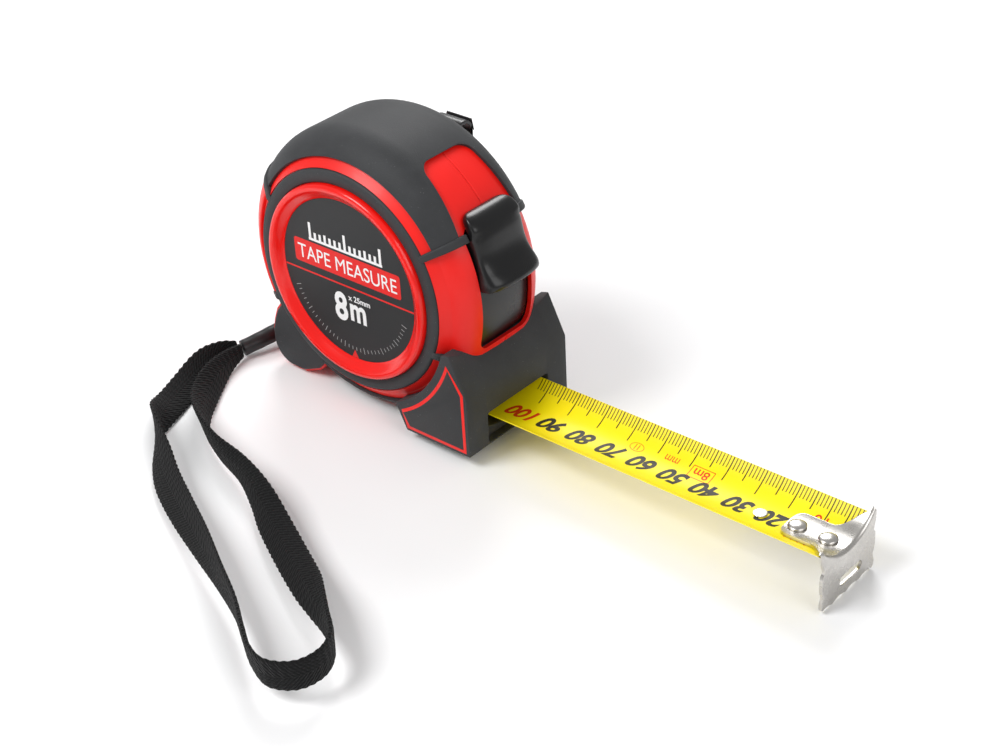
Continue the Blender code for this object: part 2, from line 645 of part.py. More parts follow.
def side_trim(side):
    """The label and the nose inlay of one side."""
    tag = "right" if side > 0 else "left"
    low, high = sided(side, CORE_HALF_WIDTH + FIT_GAP / 2, CORE_HALF_WIDTH + LABEL_THICKNESS)
    if side > 0:
        ring(f"label_{tag}", CLIP_BOSS + FIT_GAP, LABEL_RADIUS, low, high, "label_print", 64)
    else:
        disc(f"label_{tag}", LABEL_RADIUS, low, high, "label_print", 64)
    low, high = sided(side, NOSE_CORE_HALF + FIT_GAP, NOSE_HALF_WIDTH - 0.1 * MM)
    panel = side_prism(f"nose_panel_{tag}", panel_outline(OUTLINE_WIDTH), low, high, "soft_grip")
    if side > 0:
        boolean(panel, screw_cutters(side, "panel", SCREW_PLACES["case_screw_nose"])[1])


def mouth_lip():
    """The lower lip that the blade rides over, hollowed to the blade's curve."""
    half = MOUTH_HALF_WIDTH - FIT_GAP
    low, centre_top, edge_top = LIP_FLOOR + FIT_GAP, LIP_TOP, LIP_EDGE_TOP
    radius = (half**2 + (edge_top - centre_top) ** 2) / (2 * (edge_top - centre_top))
    spread = 90 - atan2(radius - (edge_top - centre_top), half) * 180 / pi
    top = arc((0, centre_top + radius), radius, -90 + spread, -90 - spread, 12)
    front = NOSE_FRONT - LIP_SETBACK
    front_prism("mouth_lip", [(-half, low), (half, low)] + top, front - LIP_DEPTH, front, "soft_grip")


# ---------------------------------------------------------------- reel


def axle_post():
    half = CHAMBER_HALF_WIDTH - FIT_GAP
    post = disc("axle_post", POST_RADIUS, -half, half, "reel_plastic", 32)
    boolean(post, disc("post_bore", CLIP_SCREW + 0.1 * MM, CLIP_SCREW_END - FIT_GAP, FAR, None, 20))


def reel():
    """The drum with its flange, the cover, the coiled blade and the power spring inside the drum."""
    bore, half = POST_RADIUS + BORE_GAP, REEL_HALF_WIDTH
    hub = bore + DRUM_WALL
    under = DRUM_RADIUS - DRUM_WALL
    profile = [
        (DRUM_RADIUS, half - FIT_GAP), (DRUM_RADIUS, -half), (FLANGE_RADIUS, -half),
        (FLANGE_RADIUS, -half - FLANGE_THICKNESS), (bore, -half - FLANGE_THICKNESS), (bore, half - FIT_GAP),
        (hub, half - FIT_GAP), (hub, -half), (under, -half), (under, half - FIT_GAP),
    ]
    turned("reel_drum", profile, "reel_plastic", 56, closed=True)
    ring("reel_cover", bore, FLANGE_RADIUS, half, half + FLANGE_THICKNESS, "reel_plastic", 56)
    ring("blade_coil", COIL_INNER, COIL_OUTER, -BLADE_WIDTH / 2, BLADE_WIDTH / 2, "blade_yellow", 56)
    spring_in, spring_out, turns = hub + 0.6 * MM, under - 0.6 * MM, 6
    count = turns * 22
    spiral = []
    for k in range(count + 1):
        share = k / count
        radius, angle = spring_in + (spring_out - spring_in) * share, 2 * pi * turns * share
        spiral.append((radius * cos(angle), AXLE_HEIGHT + radius * sin(angle)))
    width = half - 1.2 * MM
    side_prism("power_spring", strip_outline(spiral, SPRING_THICKNESS), -width, width, "spring_steel")
    for side, tag in ((-1, "left"), (1, "right")):
        low, high = sided(side, WASHER_FACE, WASHER_FACE + WASHER_THICKNESS)
        ring(f"reel_washer_{tag}", bore, bore + 7 * MM, low, high, "reel_plastic", 32)


# ---------------------------------------------------------------- blade and hook


def grid_sheet(name, columns, rows, point_at, thickness, finish):
    """A sheet of columns by rows points placed by a function of two shares, thickened evenly."""
    bm = bmesh.new()
    bmesh.ops.create_grid(bm, x_segments=columns, y_segments=rows, size=0.5)
    for vert in bm.verts:
        vert.co = Vector(point_at(vert.co.x + 0.5, vert.co.y + 0.5))
    if sum(face.normal.z for face in bm.faces) < 0:
        bmesh.ops.reverse_faces(bm, faces=bm.faces)
    obj = mesh_object(name, bm, finish)
    solidify = obj.modifiers.new("thickness", "SOLIDIFY")
    solidify.thickness = thickness
    solidify.offset = 0
    return obj


def upright_post(name, radius, x, low, high, sides=20):
    bm = bmesh.new()
    bmesh.ops.create_cone(bm, cap_ends=True, segments=sides, radius1=radius, radius2=radius, depth=high - low)
    bmesh.ops.translate(bm, verts=bm.verts, vec=(x, 0, (low + high) / 2))
    return mesh_object(name, bm)


def blade_section(across, curl, base):
    """A point of the blade's cross-section at a distance across it, for a curl from flat (0) to full (1)."""
    if curl < 0.02:
        return across, base
    radius = BLADE_CURVE / curl
    return radius * sin(across / radius), base + radius * (1 - cos(across / radius))


def blade():
    """The blade from where it leaves the coil to the hook, flat at the coil and curved from the mouth on."""
    start, end = BLADE_START, HOOK_ZERO - HOOK_PLAY - 1.5 * FIT_GAP
    settled = CHANNEL_START + 8 * MM
    stations = [start + (settled - start) * k / 6 for k in range(6)] + [
        settled + (end - settled) * k / 8 for k in range(9)
    ]
    coil_line = AXLE_HEIGHT - COIL_OUTER - 2 * FIT_GAP

    def point_at(u, v):
        x = stations[round(u * (len(stations) - 1))]
        share = min(1.0, (x - start) / (settled - start))
        curl = share * share * (3 - 2 * share)
        y, z = blade_section((v - 0.5) * BLADE_WIDTH, curl, coil_line + (BLADE_TROUGH - coil_line) * curl)
        return x, y, z

    strip = grid_sheet("blade", len(stations) - 1, 16, point_at, BLADE_THICKNESS, "blade_yellow")
    for name, back in RIVET_PLACES:
        x = HOOK_ZERO - back * MM
        boolean(strip, upright_post(f"{name}_hole", RIVET_SHANK + FIT_GAP, x, 0, BLADE_EDGE_HEIGHT))


def hook():
    """The end hook: a tab that lies in the blade's trough, gussets and an upright plate with a nail slot."""
    tab_lift = BLADE_THICKNESS / 2 + FIT_GAP + HOOK_THICKNESS / 2
    bend = HOOK_ZERO + HOOK_THICKNESS / 2
    tab_top = HOOK_TOP - HOOK_THICKNESS / 2

    def point_at(u, v):
        back = TAB_LENGTH * (1 - u) ** 1.5
        flare = max(0.0, 1 - back / GUSSET_LENGTH)
        flare = flare * flare * (3 - 2 * flare)
        tip = max(0.0, (back - TAB_LENGTH + TAB_WIDTH / 4) / (TAB_WIDTH / 4))
        half = TAB_WIDTH / 2 * (1 - 0.45 * tip**2) * (1 - flare) + (HOOK_WIDTH / 2 - 0.6 * MM) * flare
        y, z = blade_section((v - 0.5) * 2 * half, 1.0, BLADE_TROUGH + tab_lift)
        return bend - back, y, z * (1 - flare) + tab_top * flare

    tab = grid_sheet("hook", 14, 10, point_at, HOOK_THICKNESS, "plated_steel")
    half, foot = HOOK_WIDTH / 2, 1.2 * MM
    teeth = []
    for k in range(HOOK_TEETH):
        left = -half + 2 * half * k / HOOK_TEETH
        teeth += [(left + 0.1 * MM, HOOK_BOTTOM), (left + half / HOOK_TEETH, HOOK_BOTTOM + foot / 2)]
    outline = teeth + [
        (half, HOOK_BOTTOM), (half, HOOK_BOTTOM + 4 * MM), (half - 1.0 * MM, HOOK_BOTTOM + 6.5 * MM),
        (half, HOOK_BOTTOM + 9 * MM), (half, HOOK_TOP), (-half, HOOK_TOP), (-half, HOOK_BOTTOM + 9 * MM),
        (-half + 1.0 * MM, HOOK_BOTTOM + 6.5 * MM), (-half, HOOK_BOTTOM + 4 * MM),
    ]
    plate = front_prism("hook_plate", outline, HOOK_ZERO, HOOK_ZERO + HOOK_THICKNESS)
    slot_half, slot_r, slot_z = 4.2 * MM, 1.3 * MM, HOOK_BOTTOM + 4.6 * MM
    slot = arc((slot_half, slot_z), slot_r, -90, 90, 6) + arc((-slot_half, slot_z), slot_r, 90, 270, 6)
    boolean(tab, plate, "UNION")
    boolean(tab, front_prism("nail_slot", slot, HOOK_ZERO - 1 * MM, HOOK_ZERO + 2 * MM))
    for name, back in RIVET_PLACES[:2]:
        reach = RIVET_SHANK + FIT_GAP
        x = HOOK_ZERO - back * MM
        long_hole = box(f"{name}_slot", (x - reach, -reach, 0), (x + HOOK_PLAY + reach, reach, BLADE_EDGE_HEIGHT))
        boolean(tab, long_hole)


def rivets():
    """Three rivets through the backing strip and the blade; the two front ones also hold the tab."""
    backing_low = BLADE_TROUGH - BLADE_THICKNESS / 2 - FIT_GAP - BACKING_THICKNESS
    for name, back in RIVET_PLACES:
        under_tab = back * MM < TAB_LENGTH
        top = BLADE_TROUGH + BLADE_THICKNESS / 2 + 2 * FIT_GAP
        top += HOOK_THICKNESS + 1.5 * FIT_GAP if under_tab else 0.0
        head = RIVET_HEAD if under_tab else RIVET_HEAD * 0.75
        height = 1.2 * MM if under_tab else 0.45 * MM
        dome = [(head * sin(radians(a)), top + height * cos(radians(a))) for a in (0, 30, 55, 75, 90)]
        low = backing_low - FIT_GAP
        profile = dome + [(RIVET_SHANK, top), (RIVET_SHANK, low), (RIVET_SHANK * 1.6, low), (RIVET_SHANK * 1.6, low - 0.4 * MM)]
        profile += [(0, low - 0.4 * MM)]
        turned(name, profile, "plated_steel", 24, (HOOK_ZERO - back * MM, 0, 0), upright=True)


def hook_backing():
    """The thin steel strip under the blade's end."""
    drop = BLADE_THICKNESS / 2 + FIT_GAP + BACKING_THICKNESS / 2
    front = HOOK_ZERO - HOOK_PLAY - 2 * MM

    def point_at(u, v):
        y, z = blade_section((v - 0.5) * TAB_WIDTH, 1.0, BLADE_TROUGH - drop)
        return front - BACKING_LENGTH * (1 - u), y, z

    strip = grid_sheet("hook_backing", 4, 8, point_at, BACKING_THICKNESS, "plated_steel")
    for name, back in RIVET_PLACES:
        x = HOOK_ZERO - back * MM
        boolean(strip, upright_post(f"{name}_backing_hole", RIVET_SHANK + FIT_GAP, x, 0, BLADE_EDGE_HEIGHT))


# ---------------------------------------------------------------- lock


def thumb_lock():
    """The slider: a proud pad with a thumb lip, skirts that close the opening, and the arm above the blade."""
    inner, outer = SKIRT_RADII
    axle = (0, AXLE_HEIGHT)
    lip_radius, pad_radius = CORE_RADIUS + LIP_HEIGHT, CORE_RADIUS + PAD_HEIGHT
    lip_end = PAD[0] + LOCK_LIP_SPAN
    outline = arc(axle, outer, SKIRT[0], PAD[0] - 0.5, 10)
    outline += arc(axle, lip_radius, PAD[0], lip_end - 2, 3) + arc(axle, pad_radius + 0.4 * MM, lip_end, lip_end + 2, 1)
    outline += arc(axle, pad_radius, lip_end + 6, PAD[1] - 3, 5) + [polar(pad_radius - 1 * MM, PAD[1])]
    outline += arc(axle, outer, PAD[1] + 0.5, SKIRT[1], 4) + arc(axle, inner, SKIRT[1], SKIRT[0], 20)
    slider = side_prism("lock_slider", outline, -LOCK_HALF_WIDTH, LOCK_HALF_WIDTH, "gloss_black")
    half = LOCK_HALF_WIDTH / 2
    boolean(slider, wedge("lock_arm", ARM_TO, SKIRT[0] + 3, -half, half, inner + 0.3 * MM, outer - 0.3 * MM, 6), "UNION")


# ---------------------------------------------------------------- fasteners, clip and strap


def case_screws():
    for name, (x, z) in SCREW_PLACES.items():
        top, neck = SCREW_TOP, SCREW_TOP - SCREW_HEAD_DEPTH
        profile = [
            (0, top), (SCREW_HEAD * 0.7, top), (SCREW_HEAD, top - 0.4 * MM), (SCREW_HEAD, neck), (SCREW_SHANK, neck),
            (SCREW_SHANK, top - SCREW_LENGTH + 1 * MM), (0, top - SCREW_LENGTH),
        ]
        turned(name, profile, "zinc_screw", 16, (x, 0, z))


def belt_clip():
    """A spring clip: an inner leg against the side, a fold at the top and an outer leg with a turned-out foot."""
    seat = CLIP_SEAT + FIT_GAP + CLIP_THICKNESS / 2
    fold_z = CLIP_TOP - CLIP_FOLD - CLIP_THICKNESS / 2
    fold = arc((seat + CLIP_FOLD, fold_z), CLIP_FOLD, 180, 0, 10)
    path = [(seat, AXLE_HEIGHT - CLIP_BOSS - 1 * MM), (seat, AXLE_HEIGHT), (seat, fold_z - 4 * MM)] + fold + [
        (seat + 2 * CLIP_FOLD - 0.4 * MM, CLIP_FOOT + 20 * MM), (seat + 2 * CLIP_FOLD - 0.9 * MM, CLIP_FOOT + 8 * MM),
        (seat + 2 * CLIP_FOLD + 1.2 * MM, CLIP_FOOT),
    ]
    clip = front_prism("belt_clip", strip_outline(path, CLIP_THICKNESS), -CLIP_WIDTH / 2, CLIP_WIDTH / 2, "black_steel")
    high = seat + CLIP_THICKNESS
    boolean(clip, disc("clip_screw_hole", CLIP_SCREW + FIT_GAP, CORE_HALF_WIDTH, high, None, 20))
    head_low = seat + CLIP_THICKNESS / 2 + FIT_GAP
    head_high = head_low + 1.3 * MM
    profile = [
        (0, head_high), (2.2 * MM, head_high), (3.0 * MM, head_high - 0.6 * MM), (3.0 * MM, head_low),
        (CLIP_SCREW, head_low), (CLIP_SCREW, CLIP_SCREW_END + 1 * MM), (0, CLIP_SCREW_END),
    ]
    turned("clip_screw", profile, "zinc_screw", 24)


def wrist_strap():
    """The strap's pin and sleeve, and the web that loops out of the sleeve and back."""
    pin_x, pin_z = STRAP_PIN
    half = STRAP_POCKET + 2 * MM
    disc("strap_pin", PIN_RADIUS, -half, half, "zinc_screw", 16, (pin_x, 0, pin_z))
    tube("strap_sleeve", SLEEVE_ROUTE, SLEEVE_RADIUS, "gloss_black")
    last = len(STRAP_ROUTE) - 1
    points = []
    for k, (x, y, turn) in enumerate(STRAP_ROUTE):
        share = min(1.0, 0.5 + 0.25 * min(k, last - k))
        lean = radians(turn)
        rise = STRAP_WIDTH / 2 * share * cos(lean) + STRAP_THICKNESS / 2 * (abs(sin(lean)) + 0.1)
        points.append((x * MM, y * MM, rise + (1 - share) * 2 * MM, lean, share))
    curve = bpy.data.curves.new("wrist_strap", "CURVE")
    curve.dimensions = "3D"
    curve.twist_mode = "Z_UP"
    curve.extrude = STRAP_WIDTH / 2 - STRAP_THICKNESS / 2
    curve.bevel_depth = STRAP_THICKNESS / 2
    curve.bevel_resolution = 1
    curve.use_fill_caps = True
    route = smooth_route(points, 2)
    spline = curve.splines.new("POLY")
    spline.points.add(len(route) - 1)
    for point, (x, y, z, lean, share) in zip(spline.points, route):
        point.co = (x, y, z, 1)
        point.tilt = lean
        point.radius = share
    place(bpy.data.objects.new("wrist_strap", curve), "strap_web")


for which in (-1, 1):
    case_half(which)
    grip_half(which)
    side_trim(which)
mouth_lip()
axle_post()
reel()
blade()
hook()
rivets()
hook_backing()
thumb_lock()
case_screws()
belt_clip()
wrist_strap()
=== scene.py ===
"""Looks of a pocket tape measure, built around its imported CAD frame.

Every piece is modelled in millimetres with Blender's own tools, then scaled to metres, dressed in a
procedural finish and set to ride on the CAD body it belongs to. +X is the way the blade leaves the
mouth, +Y the belt clip's side and +Z up. The origin is on the flat base, under the reel's axle.
"""

import logging
import sys
from collections.abc import Callable, Iterator, Sequence
from contextlib import contextmanager
from dataclasses import dataclass, field
from enum import Enum
from math import cos, hypot, pi, radians, sin

import bmesh
import bpy
from mathutils import Matrix, Vector

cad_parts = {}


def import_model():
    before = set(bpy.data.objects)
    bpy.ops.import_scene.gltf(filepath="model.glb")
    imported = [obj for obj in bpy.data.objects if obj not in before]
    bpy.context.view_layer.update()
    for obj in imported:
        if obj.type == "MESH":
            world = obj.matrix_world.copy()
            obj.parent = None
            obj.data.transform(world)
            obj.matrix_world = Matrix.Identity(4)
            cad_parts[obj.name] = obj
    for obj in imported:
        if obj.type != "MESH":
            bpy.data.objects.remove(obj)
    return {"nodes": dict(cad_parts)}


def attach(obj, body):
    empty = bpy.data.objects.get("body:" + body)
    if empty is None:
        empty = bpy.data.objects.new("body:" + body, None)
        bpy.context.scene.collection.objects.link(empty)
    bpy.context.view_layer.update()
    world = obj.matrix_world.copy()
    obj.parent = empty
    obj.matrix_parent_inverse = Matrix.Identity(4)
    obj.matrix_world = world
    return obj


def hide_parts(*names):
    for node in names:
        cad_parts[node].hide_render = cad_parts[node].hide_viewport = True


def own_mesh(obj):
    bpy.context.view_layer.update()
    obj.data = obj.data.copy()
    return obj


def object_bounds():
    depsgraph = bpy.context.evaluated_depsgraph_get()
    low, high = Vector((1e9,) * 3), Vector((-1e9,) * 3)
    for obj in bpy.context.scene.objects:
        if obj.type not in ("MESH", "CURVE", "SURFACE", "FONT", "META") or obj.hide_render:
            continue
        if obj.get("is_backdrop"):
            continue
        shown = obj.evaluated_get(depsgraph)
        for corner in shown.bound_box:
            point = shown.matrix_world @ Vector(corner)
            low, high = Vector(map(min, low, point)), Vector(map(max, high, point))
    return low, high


log = logging.getLogger("tape_measure")

MM = 0.001
Point2 = tuple[float, float]
Point3 = tuple[float, float, float]
Colour = tuple[float, float, float]


class Side(Enum):
    """The two halves of the case, by the sign of Y."""

    LEFT = -1
    RIGHT = 1

    @property
    def tag(self) -> str:
        """The side's name as the CAD nodes spell it."""
        return self.name.lower()


class Plane(Enum):
    """The plane that a flat outline is drawn in."""

    XZ = "XZ"
    YZ = "YZ"


# ---------------------------------------------------------------- modelling


class Bench:
    """Blender's modelling operators, used on one piece at a time and in millimetres."""

    @staticmethod
    @contextmanager
    def editing(piece: bpy.types.Object) -> Iterator[None]:
        """Opens one piece in edit mode with all of it selected.

        Args:
            piece: The mesh object to edit.
        """
        Bench.pick(piece)
        bpy.ops.object.mode_set(mode="EDIT")
        bpy.ops.mesh.select_all(action="SELECT")
        yield
        bpy.ops.object.mode_set(mode="OBJECT")

    @staticmethod
    def pick(*pieces: bpy.types.Object) -> None:
        """Selects these pieces and nothing else.

        Args:
            pieces: The objects to select; the first becomes the active one.
        """
        bpy.ops.object.select_all(action="DESELECT")
        for piece in pieces:
            piece.select_set(True)
        bpy.context.view_layer.objects.active = pieces[0]

    @staticmethod
    def loop(name: str, points: Sequence[Point3]) -> bpy.types.Object:
        """Lays a closed loop of edges through the points.

        Args:
            name: The new piece's name.
            points: The corners, in order.

        Returns:
            The new piece, still without a face.
        """
        bpy.ops.object.select_all(action="DESELECT")
        bpy.ops.mesh.primitive_circle_add(vertices=len(points), radius=1.0, fill_type="NOTHING")
        piece = bpy.context.object
        piece.name = name
        for vert, point in zip(piece.data.vertices, points):
            vert.co = point
        return piece

    @staticmethod
    def prism(
        name: str, outline: Sequence[Point2], plane: Plane, low: float, high: float
    ) -> bpy.types.Object:
        """Fills a flat outline and extrudes it.

        Args:
            name: The new piece's name.
            outline: The outline's corners in the plane.
            plane: The plane it is drawn in.
            low: Where the solid starts, across the plane.
            high: Where it ends.

        Returns:
            The closed solid.
        """
        if plane is Plane.XZ:
            points = [(u, low, v) for u, v in outline]
            move = (0, high - low, 0)
        else:
            points = [(low, u, v) for u, v in outline]
            move = (high - low, 0, 0)
        piece = Bench.loop(name, points)
        with Bench.editing(piece):
            bpy.ops.mesh.edge_face_add()
            bpy.ops.mesh.extrude_region_move(TRANSFORM_OT_translate={"value": move})
            bpy.ops.mesh.select_all(action="SELECT")
            bpy.ops.mesh.normals_make_consistent(inside=False)
        return piece

    @staticmethod
    def sew(capped: bool = False, threshold: float = 0.001) -> None:
        """Merges doubled vertices of the piece in edit mode and turns its faces outwards.

        Args:
            capped: Whether open ends are filled.
            threshold: How close two vertices are when they merge.
        """
        bpy.ops.mesh.select_all(action="SELECT")
        bpy.ops.mesh.remove_doubles(threshold=threshold)
        if capped:
            bpy.ops.mesh.select_all(action="DESELECT")
            bpy.ops.mesh.select_non_manifold()
            bpy.ops.mesh.fill_holes(sides=0)
            bpy.ops.mesh.select_all(action="SELECT")
        bpy.ops.mesh.normals_make_consistent(inside=False)

    @staticmethod
    def spun(
        piece: bpy.types.Object, steps: int, centre: Point3, axis: Point3, angle: float = 2 * pi
    ) -> bpy.types.Object:
        """Spins a loop into a closed solid.

        Args:
            piece: The loop, which becomes the solid.
            steps: The number of spans.
            centre: A point on the axis.
            axis: The axis's direction.
            angle: How far it turns, in radians; less than a full turn is capped.

        Returns:
            The same piece.
        """
        with Bench.editing(piece):
            bpy.ops.mesh.spin(steps=steps, angle=angle, center=centre, axis=axis)
            Bench.sew(capped=angle < 2 * pi)
        return piece

    @staticmethod
    def turned(
        name: str,
        profile: Sequence[Point2],
        centre: Point2,
        start: float = 0.0,
        sweep: float = 360.0,
        steps: int = 128,
    ) -> bpy.types.Object:
        """Spins a closed profile about an axis along Y.

        Args:
            name: The new piece's name.
            profile: Corners as (radius, y).
            centre: The axis's x and z.
            start: The first angle in degrees, from +X towards +Z.
            sweep: How far it turns, in degrees.
            steps: The number of spans.

        Returns:
            The closed solid, a full ring or a capped part of one.
        """
        angle = radians(start)
        points = [(centre[0] + r * cos(angle), y, centre[1] + r * sin(angle)) for r, y in profile]
        piece = Bench.loop(name, points)
        return Bench.spun(piece, steps, (centre[0], 0, centre[1]), (0, 1, 0), radians(sweep))

    @staticmethod
    def lathe_up(name: str, profile: Sequence[Point2], centre: Point2, steps: int = 32) -> bpy.types.Object:
        """Spins a closed profile about an upright axis.

        Args:
            name: The new piece's name.
            profile: Corners as (radius, z).
            centre: The axis's x and y.
            steps: The number of spans.

        Returns:
            The closed solid.
        """
        piece = Bench.loop(name, [(centre[0] + r, centre[1], z) for r, z in profile])
        return Bench.spun(piece, steps, (*centre, 0), (0, 0, 1))

    @staticmethod
    def grid(
        name: str, columns: int, rows: int, point_at: Callable[[float, float], Point3], tube: bool = False
    ) -> bpy.types.Object:
        """Shapes a grid primitive by a function of its two shares.

        Args:
            name: The new piece's name.
            columns: Spans along the first share.
            rows: Spans along the second share.
            point_at: Gives the place of a vertex from its shares, each 0 to 1.
            tube: Whether the second share closes on itself and the ends are capped.

        Returns:
            The sheet, or the closed tube.
        """
        bpy.ops.object.select_all(action="DESELECT")
        bpy.ops.mesh.primitive_grid_add(x_subdivisions=columns, y_subdivisions=rows, size=1.0)
        piece = bpy.context.object
        piece.name = name
        for vert in piece.data.vertices:
            vert.co = point_at(vert.co.x + 0.5, vert.co.y + 0.5)
        if tube:
            with Bench.editing(piece):
                Bench.sew(capped=True)
        return piece

    @staticmethod
    def radial_window(
        name: str, centre: Point2, span: Point2, halves: Point2, corner: float, radius: float
    ) -> bpy.types.Object:
        """Makes a round-cornered tool that opens a wall between two angles about an axis along Y.

        Args:
            name: The tool's name.
            centre: The axis's x and z.
            span: The two angles in degrees.
            halves: Half the opening's width at each of those angles.
            corner: The corners' radius.
            radius: The wall's radius.

        Returns:
            The tool.
        """
        middle = (span[0] + span[1]) / 2
        reach = radius * sin(radians(span[1] - span[0]) / 2)
        low, high = halves[0] - corner, halves[1] - corner
        outline: list[Point2] = []
        end = reach - corner
        for y, t, start in ((high, end, 0), (-high, end, 90), (-low, -end, 180), (low, -end, 270)):
            outline += arc((y, t), corner, start, start + 90, 8)
        through_wall = (radius * 0.72, radius * 1.4)
        tool = Bench.prism(name, outline, Plane.YZ, *through_wall)
        turn = Matrix.Translation((centre[0], 0, centre[1])) @ Matrix.Rotation(-radians(middle), 4, "Y")
        tool.data.transform(turn)
        return tool

    @staticmethod
    def modify(piece: bpy.types.Object, kind: str, **settings: object) -> None:
        """Adds a modifier and applies it.

        Args:
            piece: The object to change.
            kind: The modifier's type.
            settings: Its settings.
        """
        Bench.pick(piece)
        modifier = piece.modifiers.new(kind.lower(), kind)
        for key, value in settings.items():
            setattr(modifier, key, value)
        bpy.ops.object.modifier_apply(modifier=modifier.name)

    @staticmethod
    def soften(piece: bpy.types.Object, width: float, segments: int = 3, angle: float = 35.0) -> None:
        """Rounds the edges that are sharper than an angle."""
        Bench.modify(
            piece, "BEVEL", width=width, segments=segments, limit_method="ANGLE", angle_limit=radians(angle),
            use_clamp_overlap=True, miter_outer="MITER_ARC",
        )

    @staticmethod
    def combine(piece: bpy.types.Object, tool: bpy.types.Object, operation: str = "DIFFERENCE") -> None:
        """Cuts a piece by a tool, or joins the two, and discards the tool.

        Args:
            piece: The object to change.
            tool: The closed solid that is used up.
            operation: The Boolean operation.
        """
        Bench.modify(piece, "BOOLEAN", operation=operation, solver="EXACT", object=tool)
        bpy.data.objects.remove(tool)

    @staticmethod
    def join(name: str, pieces: Sequence[bpy.types.Object]) -> bpy.types.Object:
        """Joins several pieces into one object.

        Args:
            name: The name of the result.
            pieces: The pieces; all but the first are used up.

        Returns:
            The joined piece.
        """
        Bench.pick(*pieces)
        bpy.ops.object.join()
        pieces[0].name = name
        return pieces[0]

    @staticmethod
    def lettering(
        name: str, words: str, height: float, shear: float = 0.0, weight: float = 0.0
    ) -> bpy.types.Object:
        """Writes words as a flat mesh, centred on the origin in the XY plane.

        Args:
            name: The piece's name.
            words: What it says.
            height: The height of a capital or figure.
            shear: How far it slants.
            weight: How much bolder than the plain font, in millimetres.

        Returns:
            The flat mesh.
        """
        bpy.ops.object.select_all(action="DESELECT")
        bpy.ops.object.text_add()
        piece = bpy.context.object
        piece.name = name
        cap_share = 0.70
        piece.data.body = words
        piece.data.size = height / cap_share
        piece.data.shear = shear
        piece.data.offset = weight
        piece.data.resolution_u = 4
        bpy.ops.object.convert(target="MESH")
        piece = bpy.context.object
        xs = [v.co.x for v in piece.data.vertices]
        shift = Vector(((max(xs) + min(xs)) / 2, height / 2, 0))
        for vert in piece.data.vertices:
            vert.co -= shift
        return piece

    @staticmethod
    def shade(piece: bpy.types.Object, angle: float = 40.0) -> None:
        """Shades a piece smooth except over its sharp edges."""
        Bench.pick(piece)
        bpy.ops.object.shade_smooth_by_angle(angle=radians(angle))

    @staticmethod
    def to_metres(piece: bpy.types.Object) -> None:
        """Scales a finished piece's mesh from millimetres, and leaves its object at the origin."""
        piece.data.transform(Matrix.Scale(MM, 4))


def arc(centre: Point2, radius: float, start: float, end: float, steps: int) -> list[Point2]:
    """Gives points along an arc.

    Args:
        centre: The arc's centre.
        radius: Its radius.
        start: The first angle in degrees.
        end: The last angle.
        steps: The number of spans.

    Returns:
        The points, both ends included.
    """
    turns = [radians(start + (end - start) * k / steps) for k in range(steps + 1)]
    return [(centre[0] + radius * cos(t), centre[1] + radius * sin(t)) for t in turns]


def smooth_route(points: Sequence[Sequence[float]], steps: int) -> list[Vector]:
    """Runs a smooth curve through points that may each hold any number of values.

    Args:
        points: The points to pass through.
        steps: Spans between two points.

    Returns:
        The curve's points.
    """
    held = [Vector(p) for p in points]
    route = []
    for k in range(len(held) - 1):
        before, after = held[max(k - 1, 0)], held[min(k + 2, len(held) - 1)]
        a, b = held[k], held[k + 1]
        for step in range(steps):
            t = step / steps
            bend = 2 * before - 5 * a + 4 * b - after
            ease = 3 * a - before - 3 * b + after
            route.append(0.5 * (2 * a + (b - before) * t + bend * t**2 + ease * t**3))
    return route + [held[-1]]


def eased(share: float) -> float:
    """Turns a share into one that starts and ends gently."""
    held = min(max(share, 0.0), 1.0)
    return held * held * (3 - 2 * held)


def squared(wave: float, power: float) -> float:
    """Fills out a sine or cosine towards a square wave, keeping its sign."""
    return (1 if wave > 0 else -1) * abs(wave) ** power


# ---------------------------------------------------------------- finishes


class Wire:
    """A shader socket that can be written in ordinary arithmetic."""

    def __init__(self, shader: "Shader", socket: bpy.types.NodeSocket) -> None:
        """Wraps an output socket of a shader's node."""
        self.shader = shader
        self.socket = socket

    def _math(self, operation: str, first: "Wire | float", second: "Wire | float" = 0.0) -> "Wire":
        """Adds one Math node and returns its output."""
        return self.shader.node("ShaderNodeMath", {"operation": operation}, {0: first, 1: second})

    def __add__(self, other: "Wire | float") -> "Wire":
        """Adds."""
        return self._math("ADD", self, other)

    __radd__ = __add__

    def __mul__(self, other: "Wire | float") -> "Wire":
        """Multiplies."""
        return self._math("MULTIPLY", self, other)

    __rmul__ = __mul__

    def sine(self) -> "Wire":
        """Gives the sine."""
        return self._math("SINE", self)

    def size(self) -> "Wire":
        """Gives the absolute value."""
        return self._math("ABSOLUTE", self)


